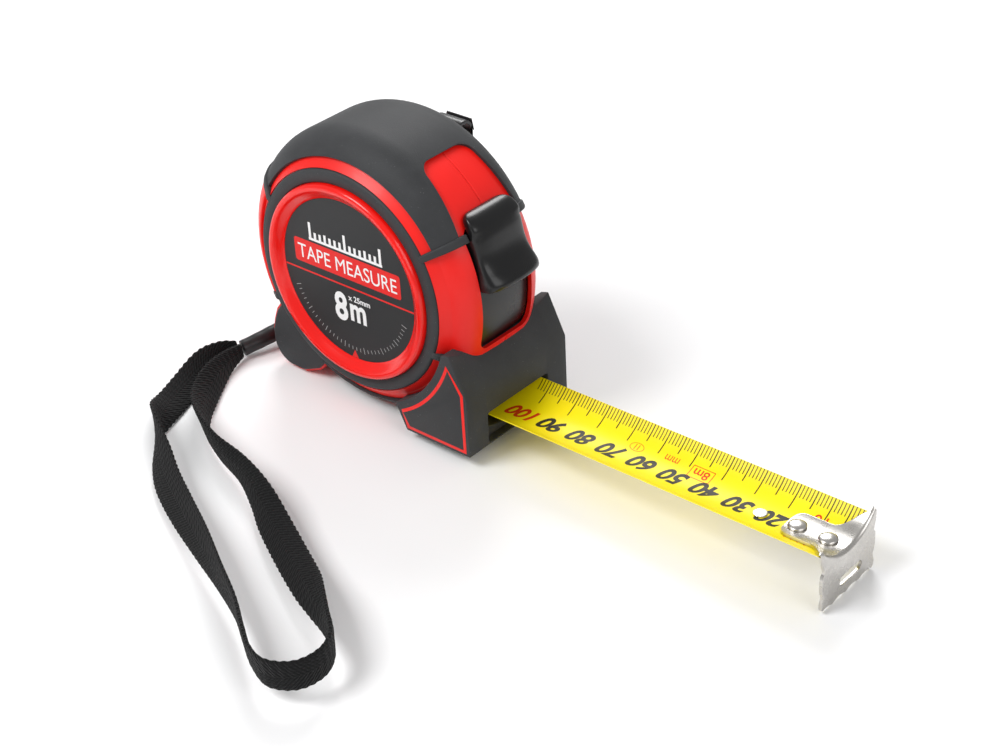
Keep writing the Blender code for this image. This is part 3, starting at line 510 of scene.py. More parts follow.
class Shader:
    """The node tree of one material, with the Principled BSDF ready to be fed."""

    def __init__(self, name: str) -> None:
        """Starts an empty material of that name."""
        self.material = bpy.data.materials.new(name)
        self.material.use_nodes = True
        self.tree = self.material.node_tree
        self.surface = self.tree.nodes["Principled BSDF"]

    def node(
        self,
        kind: str,
        settings: dict[str, object] | None = None,
        inputs: dict[str | int, object] | None = None,
        output: str | int = 0,
    ) -> Wire:
        """Adds a node, sets it up and feeds it.

        Args:
            kind: The node's type.
            settings: Attributes set before anything is linked; "stops" fills a colour ramp.
            inputs: Values or wires by socket.
            output: Which output to return.

        Returns:
            The chosen output as a wire.
        """
        made = self.tree.nodes.new(kind)
        for key, value in (settings or {}).items():
            if key == "stops":
                self._fill_ramp(made.color_ramp, value)
            else:
                setattr(made, key, value)
        for key, value in (inputs or {}).items():
            self._feed(made.inputs[key], value)
        return Wire(self, made.outputs[output])

    @staticmethod
    def _fill_ramp(ramp: bpy.types.ColorRamp, stops: Sequence[tuple[float, Colour]]) -> None:
        """Gives a colour ramp its stops."""
        while len(ramp.elements) < len(stops):
            ramp.elements.new(1.0)
        for element, (place, colour) in zip(ramp.elements, stops):
            element.position = place
            element.color = (*colour, 1.0)

    def _feed(self, socket: bpy.types.NodeSocket, value: object) -> None:
        """Links a wire to a socket, or sets the socket's own value."""
        if isinstance(value, Wire):
            self.tree.links.new(value.socket, socket)
        elif isinstance(value, tuple) and len(value) == 3 and socket.type == "RGBA":
            socket.default_value = (*value, 1.0)
        else:
            socket.default_value = value

    def set(self, **values: object) -> None:
        """Feeds the Principled BSDF; underscores in a name stand for spaces."""
        for key, value in values.items():
            self._feed(self.surface.inputs[key.replace("_", " ")], value)

    def place(self) -> Wire:
        """Gives the Object coordinates."""
        return self.node("ShaderNodeTexCoord", output="Object")

    def noise(
        self, scale: float, detail: float = 3.0, roughness: float = 0.5, at: Wire | None = None
    ) -> Wire:
        """Gives a noise value for a number of cells per metre."""
        inputs = {"Vector": at or self.place(), "Scale": scale, "Detail": detail, "Roughness": roughness}
        return self.node("ShaderNodeTexNoise", None, inputs)

    def ramp(self, value: Wire, *stops: tuple[float, float]) -> Wire:
        """Maps a value through grey stops."""
        filled = [(place, (grey, grey, grey)) for place, grey in stops]
        return self.node("ShaderNodeValToRGB", {"stops": filled}, {"Fac": value})

    def mix(self, share: Wire, first: Colour | Wire, second: Colour | Wire) -> Wire:
        """Mixes two colours by a share."""
        inputs = {0: share, 6: first, 7: second}
        return self.node("ShaderNodeMix", {"data_type": "RGBA"}, inputs, 2)

    def bump(self, height: Wire, strength: float, depth: float) -> Wire:
        """Turns a height from 0 to 1 into a normal, for a relief of that depth in millimetres."""
        inputs = {"Height": height, "Strength": strength, "Distance": depth * MM}
        return self.node("ShaderNodeBump", None, inputs)


class Finish:
    """A material that is made once, the first time a piece asks for it."""

    name: str
    slot: str

    def material(self) -> bpy.types.Material:
        """Gives the material, built on first use."""
        found = bpy.data.materials.get(self.name)
        return found if found else self.build(Shader(self.name)).material

    def build(self, shader: Shader) -> Shader:
        """Fills in the shader; each finish has its own."""
        raise NotImplementedError


@dataclass(frozen=True)
class MouldedPlastic(Finish):
    """Injection-moulded plastic: fine spark-eroded texture, faint flow and a few handling marks."""

    name: str
    slot: str
    colour: Colour
    roughness: float
    texture_depth: float
    coat: float = 0.0
    deep_share: float = 0.82

    def build(self, shader: Shader) -> Shader:
        """Mixes two tones of the colour, varies the gloss and adds the mould texture."""
        deep = tuple(c * self.deep_share for c in self.colour)
        flow = shader.ramp(shader.noise(34, 3), (0.3, 0.0), (0.72, 1.0))
        grain = shader.noise(5200, 2, 0.6)
        marks = shader.ramp(shader.noise(420, 5, 0.7), (0.62, 0.0), (0.8, 1.0))
        shader.set(
            Base_Color=shader.mix(flow, deep, self.colour),
            Roughness=self.roughness + flow * 0.04 + marks * 0.07,
            Normal=shader.bump(grain + marks * 0.3, 0.5, self.texture_depth),
            Coat_Weight=self.coat,
            Coat_Roughness=0.08,
            Specular_IOR_Level=0.38,
        )
        return shader


@dataclass(frozen=True)
class SoftRubber(Finish):
    """Matte overmoulded rubber: fine pebble texture, pale dust specks and lighter worn edges."""

    name: str
    slot: str
    colour: Colour
    dust: float

    def build(self, shader: Shader) -> Shader:
        """Lays specks and blotches of dust over the rubber and gives it a pebbled surface."""
        worn = tuple(min(1.0, c * 1.5 + 0.008) for c in self.colour)
        pale = (0.24, 0.24, 0.235)
        blotch = shader.ramp(shader.noise(55, 4, 0.6), (0.35, 0.0), (0.75, 1.0))
        specks = shader.ramp(shader.noise(2300, 2, 0.5), (0.70, 0.0), (0.78, 1.0))
        pebble = shader.node(
            "ShaderNodeTexVoronoi", {"feature": "F1"}, {"Vector": shader.place(), "Scale": 3400.0}
        )
        edge = shader.node("ShaderNodeNewGeometry", output="Pointiness")
        rubbed = shader.ramp(edge, (0.505, 0.0), (0.58, 1.0))
        tone = shader.mix(blotch, self.colour, worn)
        tone = shader.mix(rubbed * 0.5, tone, worn)
        shader.set(
            Base_Color=shader.mix(specks * blotch * self.dust, tone, pale),
            Roughness=0.60 + blotch * 0.10,
            Normal=shader.bump(pebble + shader.noise(1500, 3) * 0.6, 0.55, 0.035),
            Specular_IOR_Level=0.34,
            Sheen_Weight=0.03,
            Sheen_Roughness=0.5,
        )
        return shader


@dataclass(frozen=True)
class PlatedSteel(Finish):
    """Nickel-plated or zinc-plated steel with fine rolling lines and small stains."""

    name: str
    slot: str
    colour: Colour
    roughness: float

    def build(self, shader: Shader) -> Shader:
        """Stretches a noise into rolling lines and dulls the plating in patches."""
        where = shader.place()
        lines = shader.node(
            "ShaderNodeMapping", None, {"Vector": where, "Scale": (350.0, 9000.0, 350.0)}
        )
        rolled = shader.noise(1.0, 4, 0.6, lines)
        stain = shader.ramp(shader.noise(260, 5, 0.65), (0.42, 0.0), (0.72, 1.0))
        dull = tuple(c * 0.88 for c in self.colour)
        shader.set(
            Base_Color=shader.mix(stain, self.colour, dull),
            Metallic=1.0,
            Roughness=self.roughness + stain * 0.12 + rolled * 0.08,
            Normal=shader.bump(rolled, 0.25, 0.01),
        )
        return shader


@dataclass(frozen=True)
class BladeLacquer(Finish):
    """Yellow printed lacquer over spring steel, with hair scratches along the blade."""

    name: str = "blade_lacquer"
    slot: str = "blade_yellow"
    colour: Colour = (0.93, 0.76, 0.0)

    def build(self, shader: Shader) -> Shader:
        """Draws long scratches and a faint unevenness of the lacquer."""
        where = shader.place()
        along = shader.node("ShaderNodeMapping", None, {"Vector": where, "Scale": (40.0, 4200.0, 40.0)})
        scratch = shader.ramp(shader.noise(1.0, 3, 0.6, along), (0.66, 0.0), (0.78, 1.0))
        cloud = shader.ramp(shader.noise(70, 3), (0.3, 0.0), (0.7, 1.0))
        deep = (self.colour[0] * 0.94, self.colour[1] * 0.92, 0.0)
        tone = shader.mix(cloud, deep, self.colour)
        shader.set(
            Base_Color=shader.mix(scratch * 0.25, tone, (0.98, 0.90, 0.35)),
            Roughness=0.42 + scratch * 0.12 + cloud * 0.05,
            Normal=shader.bump(shader.noise(900, 2) + scratch * 0.5, 0.12, 0.01),
            Specular_IOR_Level=0.25,
            Coat_Weight=0.06,
            Coat_Roughness=0.2,
        )
        return shader


@dataclass(frozen=True)
class PrintInk(Finish):
    """Flat printing ink with small gaps where the surface was not quite clean."""

    name: str
    slot: str
    colour: Colour
    roughness: float = 0.45

    def build(self, shader: Shader) -> Shader:
        """Thins the ink in fine specks."""
        thin = shader.ramp(shader.noise(3800, 3, 0.6), (0.58, 0.0), (0.75, 1.0))
        pale = tuple(min(1.0, c * 0.85 + 0.02) for c in self.colour)
        shader.set(
            Base_Color=shader.mix(thin, self.colour, pale),
            Roughness=self.roughness + thin * 0.1,
            Specular_IOR_Level=0.2,
            Normal=shader.bump(thin, 0.2, 0.004),
        )
        return shader


@dataclass(frozen=True)
class WovenWeb(Finish):
    """Black nylon web: a herringbone of ribs that follows the strap's own length and width."""

    name: str = "woven_web"
    slot: str = "strap_web"
    colour: Colour = (0.0022, 0.0022, 0.0024)
    pitch: float = 1.05

    def build(self, shader: Shader) -> Shader:
        """Draws slanted threads from the strap's UV map, which is in millimetres."""
        parts = shader.node("ShaderNodeUVMap", {"uv_map": "web"})
        split = shader.node("ShaderNodeSeparateXYZ", None, {"Vector": parts})
        along, across = split, shader.node("ShaderNodeSeparateXYZ", None, {"Vector": parts}, 1)
        slant = (along + across.size() * 0.9) * (2 * pi / self.pitch)
        thread = slant.sine() * 0.5 + 0.5
        cross = (across * (2 * pi / 0.9)).sine() * 0.5 + 0.5
        fibre = shader.noise(6500, 2, 0.6)
        height = thread * 0.65 + cross * 0.2 + fibre * 0.25
        light = tuple(c * 4.0 + 0.003 for c in self.colour)
        shader.set(
            Base_Color=shader.mix(height * 0.55, self.colour, light),
            Roughness=0.72 + fibre * 0.15,
            Normal=shader.bump(height, 1.0, 0.30),
            Sheen_Weight=0.04,
            Sheen_Roughness=0.4,
            Specular_IOR_Level=0.22,
        )
        return shader


RED_SATIN = MouldedPlastic("red_satin", "red_abs", (0.90, 0.008, 0.004), 0.40, 0.012, 0.05)
RED_GLOSS = MouldedPlastic("red_gloss", "red_abs", (0.88, 0.006, 0.003), 0.17, 0.003, 0.2, 0.9)
# Rougher, paler red for the lower band: the paler colour is painted light bouncing up from the table.
RED_PAINTED_BOUNCE = MouldedPlastic("red_painted_bounce", "red_abs", (0.92, 0.10, 0.09), 0.55, 0.02)
GRIP = SoftRubber("grip_rubber", "soft_grip", (0.021, 0.022, 0.024), 0.9)
GRIP_PANEL = SoftRubber("grip_inlay", "soft_grip", (0.019, 0.020, 0.021), 0.5)
LIP_RUBBER = SoftRubber("lip_rubber", "soft_grip", (0.020, 0.020, 0.021), 0.2)
BLACK_GLOSS = MouldedPlastic("black_gloss", "gloss_black", (0.005, 0.005, 0.0055), 0.27, 0.004, 0.08)
BLACK_SATIN = MouldedPlastic("black_satin", "gloss_black", (0.014, 0.014, 0.015), 0.36, 0.01)
LABEL_BLACK = MouldedPlastic("label_black", "label_print", (0.016, 0.017, 0.018), 0.5, 0.004)
LABEL_WHITE = PrintInk("label_white", "label_print", (0.82, 0.82, 0.82))
LABEL_GREY = PrintInk("label_grey", "label_print", (0.42, 0.42, 0.42))
LABEL_RED = PrintInk("label_red", "label_print", (0.72, 0.02, 0.018))
SCALE_BLACK = PrintInk("scale_black", "blade_yellow", (0.016, 0.015, 0.006), 0.4)
SCALE_RED = PrintInk("scale_red", "blade_yellow", (0.66, 0.045, 0.004), 0.4)
NICKEL = PlatedSteel("nickel_plate", "plated_steel", (0.60, 0.58, 0.55), 0.21)
ZINC = PlatedSteel("zinc_plate", "zinc_screw", (0.56, 0.57, 0.58), 0.30)
SPRING_STEEL = PlatedSteel("spring_steel", "spring_steel", (0.28, 0.29, 0.33), 0.26)
CLIP_COAT = MouldedPlastic("clip_coating", "black_steel", (0.012, 0.012, 0.013), 0.33, 0.008, 0.2)
REEL_PLASTIC = MouldedPlastic("reel_plastic", "reel_plastic", (0.30, 0.30, 0.31), 0.48, 0.01)
BLADE_LACQUER = BladeLacquer()
WOVEN_WEB = WovenWeb()


def deliver(
    piece: bpy.types.Object, finish: Finish, body: str, replaced: Sequence[str] = (), angle: float = 40.0
) -> bpy.types.Object:
    """Finishes a piece: shades it, scales it, dresses it and lets it ride on its body.

    Args:
        piece: The piece, modelled in millimetres.
        finish: The finish that it gets.
        body: The CAD body it moves with.
        replaced: The CAD nodes it stands for.
        angle: The angle above which an edge stays sharp.

    Returns:
        The same piece.
    """
    Bench.shade(piece, angle)
    Bench.to_metres(piece)
    piece.data.materials.clear()
    piece.data.materials.append(finish.material())
    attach(piece, body)
    if replaced:
        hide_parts(*replaced)
    log.info("%s on %s, %d faces", piece.name, body, len(piece.data.polygons))
    return piece


def carry_over(frame: dict, node: str, finish: Finish) -> None:
    """Dresses a CAD node that keeps its own shape.

    Args:
        node: The node's name.
        finish: The finish that it gets.
    """
    piece = frame["nodes"][node]
    piece.data.materials.clear()
    piece.data.materials.append(finish.material())
    log.info("%s carried over", node)


# ---------------------------------------------------------------- case


@dataclass
class CaseForm:
    """The sizes that the case's pieces share, in millimetres and degrees."""

    axle: Point2 = (0.0, 39.5)
    crown_radius: float = 39.9
    face: float = 18.6
    shoulder_r: float = 29.9
    shoulder_y: float = 7.6
    shoulder_radius: float = 10.0
    shoulder_end: float = 62.0
    seam: float = 1.0
    grip: float = 1.0
    label_radius: float = 24.1
    rim_inner: float = 28.5
    rim_outer: float = 32.2
    base_lift: float = 0.3

    def shoulder(
        self, grow: float, end: float | None = None, stop: float = 0.0, steps: int = 14
    ) -> list[Point2]:
        """Gives the shoulder from its outer end in to the crown, as (radius, y).

        Args:
            grow: How far outside the red shell.
            end: The angle where it starts, measured from the crown.
            stop: The angle where it ends.
            steps: The number of spans.

        Returns:
            The points.
        """
        first = self.shoulder_end if end is None else end
        return arc((self.shoulder_r, self.shoulder_y), self.shoulder_radius + grow, first, stop, steps)

    def over_crown(self, grow: float, end: float, steps: int = 14) -> list[Point2]:
        """Gives the line over the whole crown, from the right shoulder to the left one."""
        right = self.shoulder(grow, end, 0.0, steps)
        return right + [(r, -y) for r, y in reversed(right)]

    def at(self, radius: float, angle: float) -> Point2:
        """Gives the x and z of a point at an angle about the axle."""
        turn = radians(angle)
        return radius * cos(turn), self.axle[1] + radius * sin(turn)


@dataclass
class RedShells:
    """The two red shells with their polished rings, and the heel they share."""

    form: CaseForm
    wall: float = 1.2
    lock_half: float = 9.9
    lock_span: Point2 = (-19.0, 33.0)
    lock_corner: float = 3.2
    channel_half: float = 12.4
    heel_half: float = 15.0
    heel_rear: float = -37.0
    heel_corner: float = 7.5

    def build(self) -> None:
        """Makes both shells, their rings and the heel."""
        for side in Side:
            self._shell(side)
            self._ring(side)
            self._low_band(side)
        self._rear_panel()
        self._heel()

    def _shell(self, side: Side) -> None:
        """Spins one shell, opens it for the lock and the blade and cuts it flat below."""
        form, s = self.form, side.value
        seam = s * form.seam + 0.06
        inner = form.shoulder(-self.wall, 58.0)
        outline = [(20.0, form.face - 0.1), (form.label_radius + 0.3, form.face - 0.1)]
        outline += [(form.label_radius + 0.3, form.face + 0.3), (form.rim_inner - 0.3, form.face + 0.3)]
        outline += [(form.rim_inner - 0.3, form.face - 0.2), (form.rim_outer + 0.2, form.face - 0.2)]
        outline += [(form.rim_outer + 0.25, form.face + 0.22)] + form.shoulder(0.0, steps=22)
        outline += [(form.crown_radius, seam + 0.22), (form.crown_radius - 0.16, seam)]
        outline += [(form.crown_radius - self.wall, seam)] + inner[::-1] + [(20.0, inner[0][1])]
        shell = Bench.turned(f"red_shell_{side.tag}", [(r, y * s) for r, y in outline], form.axle, steps=160)
        Bench.combine(shell, self.lock_window(f"window_{side.tag}"))
        channel = [(8, 0.9), (60, 0.9), (60, 10), (8, 10)]
        half = self.channel_half
        Bench.combine(shell, Bench.prism(f"mouth_{side.tag}", channel, Plane.XZ, -half, half))
        with Bench.editing(shell):
            bpy.ops.mesh.bisect(plane_co=(0, 0, 0.02), plane_no=(0, 0, 1), use_fill=True, clear_inner=True)
        deliver(shell, RED_SATIN, "case", [f"case_{side.tag}"], 30)

    def lock_window(self, name: str) -> bpy.types.Object:
        """Makes the round-cornered tool that opens the shell for the lock."""
        form, halves = self.form, (self.lock_half, self.lock_half)
        return Bench.radial_window(
            name, form.axle, self.lock_span, halves, self.lock_corner, form.crown_radius
        )

    def _ring(self, side: Side) -> None:
        """Spins the polished ring round the label."""
        form, s = self.form, side.value
        face = form.face
        rise = [(23.95, 0.42), (24.35, 0.62), (25.0, 1.15), (25.8, 1.85), (26.6, 2.38)]
        rise += [(27.3, 2.6), (27.9, 2.45), (28.25, 2.0), (28.42, 1.3)]
        outline = [(23.95, face - 0.05)] + [(r, face + y) for r, y in rise] + [(28.42, face - 0.05)]
        ring = Bench.turned(f"dished_ring_{side.tag}", [(r, y * s) for r, y in outline], form.axle, steps=160)
        deliver(ring, RED_GLOSS, "case", angle=50)

    def _low_band(self, side: Side) -> None:
        """Spins the lower run of the band between the rim and the crown's grip, in a rougher red whose paler
        colour is painted light bouncing up from the table.
        """
        form, s = self.form, side.value
        upper = [(form.rim_outer + 0.1, form.face + 0.05), *form.shoulder(0.12, 78.0, 62.0, 5)]
        lower = [*form.shoulder(-0.3, 78.0, 62.0, 5)[::-1], (form.rim_outer + 0.1, form.face - 0.4)]
        outline = [(r, y * s) for r, y in upper + lower]
        band = Bench.turned(f"painted_bounce_band_{side.tag}", outline, form.axle, 208.0, 128.0, 80)
        # The band's paler red is painted bounce light from the table.
        deliver(band, RED_PAINTED_BOUNCE, "case", angle=50)

    def _rear_panel(self) -> None:
        """Spins the red panel at the rear, flush with the grip on either side of it."""
        form = self.form
        outline = form.over_crown(1.15, 64.0) + form.over_crown(-0.3, 64.0)[::-1]
        panel = Bench.turned("rear_red_panel", outline, form.axle, 150.2, 54.6, 36)
        Bench.soften(panel, 0.4, 3, 50)
        deliver(panel, RED_SATIN, "case", angle=45)

    def _heel(self) -> None:
        """Extrudes the heel and rounds its rear edges."""
        rear, corner = self.heel_rear, self.heel_corner
        outline = [(-20.0, 28.0), (rear + 5, 21.0), (rear + 2.4, 17.6), (rear + 1.0, 14.2), (rear, 10.5)]
        outline += arc((rear + corner, corner), corner, 180, 270, 14)
        outline += [(-25.0, 0.0), (-19.0, 2.6), (-11.0, 12.0)]
        heel = Bench.prism("heel", outline, Plane.XZ, -self.heel_half, self.heel_half)
        self._strap_hole(heel)
        Bench.soften(heel, 0.8, 3, 50)
        deliver(heel, RED_SATIN, "case", angle=35)

    @staticmethod
    def _strap_hole(heel: bpy.types.Object) -> None:
        """Drills the strap's hole into the heel's rear, with a countersunk mouth."""
        height = 5.6
        profile = [(0.0, -34.0), (2.75, -34.0), (2.75, -36.2), (3.4, -37.6), (0.0, -37.6)]
        tool = Bench.loop("strap_hole", [(x, 0.0, height + r) for r, x in profile])
        Bench.combine(heel, Bench.spun(tool, 32, (0, 0, height), (1, 0, 0)))


@dataclass
class GripSkin:
    """The soft overmould: crown, rims, bars, nose cover with its inlays and the heel's cheeks."""

    form: CaseForm
    top_span: Point2 = (28.0, 150.0)
    rear_span: Point2 = (205.0, 301.0)
    rear_end: float = 50.0
    window_half: float = 10.0
    window_top: float = 62.0
    bar_angles: tuple[float, ...] = (148.7, 206.3)
    bar_sweep: float = 3.4
    bar_rise: float = 1.5
    nose_front: float = 41.7
    nose_half: float = 20.6
    nose_top: float = 18.2
    nose_back: float = 5.5
    nose_rise: float = 11.8
    nose_corner: float = 2.8
    saddle: float = 4.6
    saddle_spans: int = 16
    mouth_half: float = 12.5
    mouth_heights: Point2 = (0.85, 10.2)
    outline_width: float = 0.9

    def build(self) -> None:
        """Makes all the soft pieces."""
        self._crown()
        for side in Side:
            self._rim(side)
            self._inlay(side)
            self._cheek(side)
        self._bars()
        self._nose()
        self._lip()

    def _window(self, name: str) -> bpy.types.Object:
        """Makes the tapered, round-cornered tool for the red window in front."""
        halves = (self.window_half * 1.22, self.window_half * 0.93)
        span = (self.top_span[0] - 12, self.window_top)
        return Bench.radial_window(name, self.form.axle, span, halves, 4.2, self.form.crown_radius)

    def _crown(self) -> None:
        """Spins the two runs of the crown and cuts the window into the front one."""
        form = self.form
        runs = []
        for name, (start, stop), end in (
            ("crown_grip_top", self.top_span, form.shoulder_end),
            ("crown_grip_rear", self.rear_span, self.rear_end),
        ):
            outline = form.over_crown(form.grip, end) + form.over_crown(0.08, end)[::-1]
            run = Bench.turned(name, outline, form.axle, start, stop - start, int((stop - start) / 1.6))
            if name == "crown_grip_top":
                Bench.combine(run, self._window("crown_window"))
            runs.append(run)
        channel, half = [(8, -9), (60, -9), (60, 10.0), (8, 10.0)], self.mouth_half
        Bench.combine(runs[1], Bench.prism("blade_channel", channel, Plane.XZ, -half, half))
        low = form.base_lift
        with Bench.editing(runs[1]):
            bpy.ops.mesh.bisect(plane_co=(0, 0, low), plane_no=(0, 0, 1), use_fill=True, clear_inner=True)
        for run in runs:
            Bench.soften(run, 0.34, 3, 50)
        deliver(runs[0], GRIP, "case", ["grip_left", "grip_right"], 45)
        deliver(runs[1], GRIP, "case", angle=45)

    def _rim(self, side: Side) -> None:
        """Spins the black rim round the polished ring."""
        form, s = self.form, side.value
        low, top = form.face - 0.15, form.face + 0.92
        outline = [(form.rim_inner, low), (form.rim_inner, top - 0.25), (form.rim_inner + 0.3, top)]
        outline += [(form.rim_outer - 0.75, top - 0.05), (form.rim_outer - 0.25, top - 0.3)]
        outline += [(form.rim_outer, top - 0.75), (form.rim_outer, low)]
        rim = Bench.turned(f"rim_{side.tag}", [(r, y * s) for r, y in outline], form.axle, steps=144)
        deliver(rim, GRIP, "case", angle=60)

    def _bar_profile(self, inner_end: float) -> list[Point2]:
        """Gives a bar's section from the rim out over the band and the shoulder.

        Args:
            inner_end: The shoulder angle where the bar stops, measured from the crown.

        Returns:
            The outline as (radius, y).
        """
        form, top = self.form, self.form.face + 0.84
        upper = [(form.rim_outer - 1.4, top), (form.rim_outer + 0.5, top), (form.rim_outer + 1.7, top - 0.75)]
        upper += form.shoulder(self.bar_rise, 58.0, inner_end)
        lower = form.shoulder(-0.4, 60.0, inner_end)[::-1]
        return upper + lower + [(form.rim_outer, form.face - 0.1), (form.rim_outer - 1.4, form.face)]

    def _bars(self) -> None:
        """Makes the bars that tie the rims to the crown."""
        form = self.form
        places = [(angle, 0.0) for angle in self.bar_angles] + [(29.4, 9.5), (337.5, 44.0)]
        bars = []
        for angle, inner_end in places:
            for side in Side:
                outline = [(r, y * side.value) for r, y in self._bar_profile(inner_end)]
                if inner_end == 0.0:
                    low = form.crown_radius - 0.4
                    outline[17:19] = [(form.crown_radius + self.bar_rise, 0.0), (low, 0.0)]
                start = angle - self.bar_sweep / 2
                bar = Bench.turned(f"bar_{angle:.0f}", outline, form.axle, start, self.bar_sweep, 3)
                Bench.soften(bar, 0.4, 3, 50)
                bars.append(bar)
        deliver(Bench.join("grip_bars", bars), GRIP, "case", angle=45)

    def _nose_outline(self) -> list[Point2]:
        """Gives the nose seen from the side."""
        front = self.nose_front
        follow = arc(self.form.axle, 35.2, -17, -64, 16)
        return [(19.0, self.form.base_lift), (front, self.form.base_lift), (front, self.nose_top)] + [
            (front - self.nose_back, self.nose_top + self.nose_rise)
        ] + follow

    def _nose(self) -> None:
        """Extrudes the nose cover, hollows its top into a saddle and opens the mouth."""
        half, front = self.nose_half, self.nose_front
        nose = Bench.prism("nose_cover", self._nose_outline(), Plane.XZ, -half, half)
        with Bench.editing(nose):
            for k in range(1, self.saddle_spans):
                bpy.ops.mesh.select_all(action="SELECT")
                place = -half + 2 * half * k / self.saddle_spans
                bpy.ops.mesh.bisect(plane_co=(0, place, 0), plane_no=(0, 1, 0))
        back_top = self.nose_top + self.nose_rise
        for vert in nose.data.vertices:
            if abs(vert.co.z - back_top) < 0.01:
                vert.co.z -= self.saddle * (1 - (vert.co.y / half) ** 2)
        self._round_front(nose)
        half_mouth, (sill, roof) = self.mouth_half, self.mouth_heights
        mouth = [(-half_mouth, sill), (half_mouth, sill), (half_mouth, roof), (-half_mouth, roof)]
        tool = Bench.prism("mouth_tool", mouth, Plane.YZ, 6.0, 60.0)
        Bench.soften(tool, 0.8, 3, 60)
        Bench.combine(nose, tool)
        Bench.soften(nose, 0.55, 3, 40)
        deliver(nose, GRIP, "case", angle=40)

    def _round_front(self, nose: bpy.types.Object) -> None:
        """Rounds the two upright front corners of the nose."""
        with Bench.editing(nose):
            bpy.ops.mesh.select_all(action="DESELECT")
            mesh = bmesh.from_edit_mesh(nose.data)
            for edge in mesh.edges:
                ends = [vert.co for vert in edge.verts]
                upright = abs(ends[0].z - ends[1].z) > 3
                outer = all(abs(abs(end.y) - self.nose_half) < 0.01 for end in ends)
                edge.select = upright and outer and all(end.x > 34 and end.z > 0 for end in ends)
            bmesh.update_edit_mesh(nose.data)
            bpy.ops.mesh.bevel(offset=self.nose_corner, segments=6)

    def _inlay_outline(self, inset: float) -> list[Point2]:
        """Gives the inlay on the nose's side, inside its outline by the inset."""
        front, low = self.nose_front - 1.1 - inset, 1.1 + inset
        follow = arc(self.form.axle, 37.4 + inset, -20 - 1.5 * inset, -62, 16)
        return [(19.4 + inset, low), (front, low), (front, self.nose_top + 1.2 - inset / 2)] + follow

    def _inlay(self, side: Side) -> None:
        """Makes the red line on the nose's side and the black inlay that it frames."""
        s, half = side.value, self.nose_half
        for name, inset, proud, finish in (
            ("line", 0.0, 0.05, RED_SATIN),
            ("panel", self.outline_width, 0.1, GRIP_PANEL),
        ):
            low, high = sorted((s * (half - 0.7), s * (half + proud)))
            piece = Bench.prism(f"nose_{name}_{side.tag}", self._inlay_outline(inset), Plane.XZ, low, high)
            Bench.soften(piece, 0.07 if inset == 0 else 0.16, 2, 50)
            deliver(piece, finish, "case", [f"nose_panel_{side.tag}"] if inset else [], 35)

    def _cheek(self, side: Side) -> None:
        """Makes the soft cheek on one side of the heel."""
        s = side.value
        rear, corner, inset = -37.0, 7.5, 0.55
        outline = [(-20.0, 28.0), (rear + 5 + inset, 20.6), (rear + 2.4 + inset, 17.4)]
        outline += [(rear + 1.0 + inset, 14.0), (rear + inset, 10.5)]
        outline += arc((rear + corner, corner), corner - inset, 180, 270, 14)
        outline += [(-25.2, inset), (-19.3, 2.6 + inset), (-9.5, 13.0)]
        low, high = sorted((s * 14.2, s * 16.0))
        cheek = Bench.prism(f"heel_cheek_{side.tag}", outline, Plane.XZ, low, high)
        Bench.soften(cheek, 0.9, 4, 50)
        deliver(cheek, GRIP, "case", angle=40)

    def _lip(self) -> None:
        """Makes the recessed lower lip, hollowed to the blade's curve."""
        half = self.mouth_half - 0.25
        top = arc((0.0, 2.5 + 29.1), 29.1, -90 + 24.9, -90 - 24.9, 20)
        outline = [(-half, 1.0), (half, 1.0)] + [(min(max(y, -half), half), z) for y, z in top]
        lip = Bench.prism("lower_lip", outline, Plane.YZ, 33.2, 39.7)
        Bench.soften(lip, 0.35, 3, 40)
        deliver(lip, LIP_RUBBER, "case", ["mouth_lip"], 40)


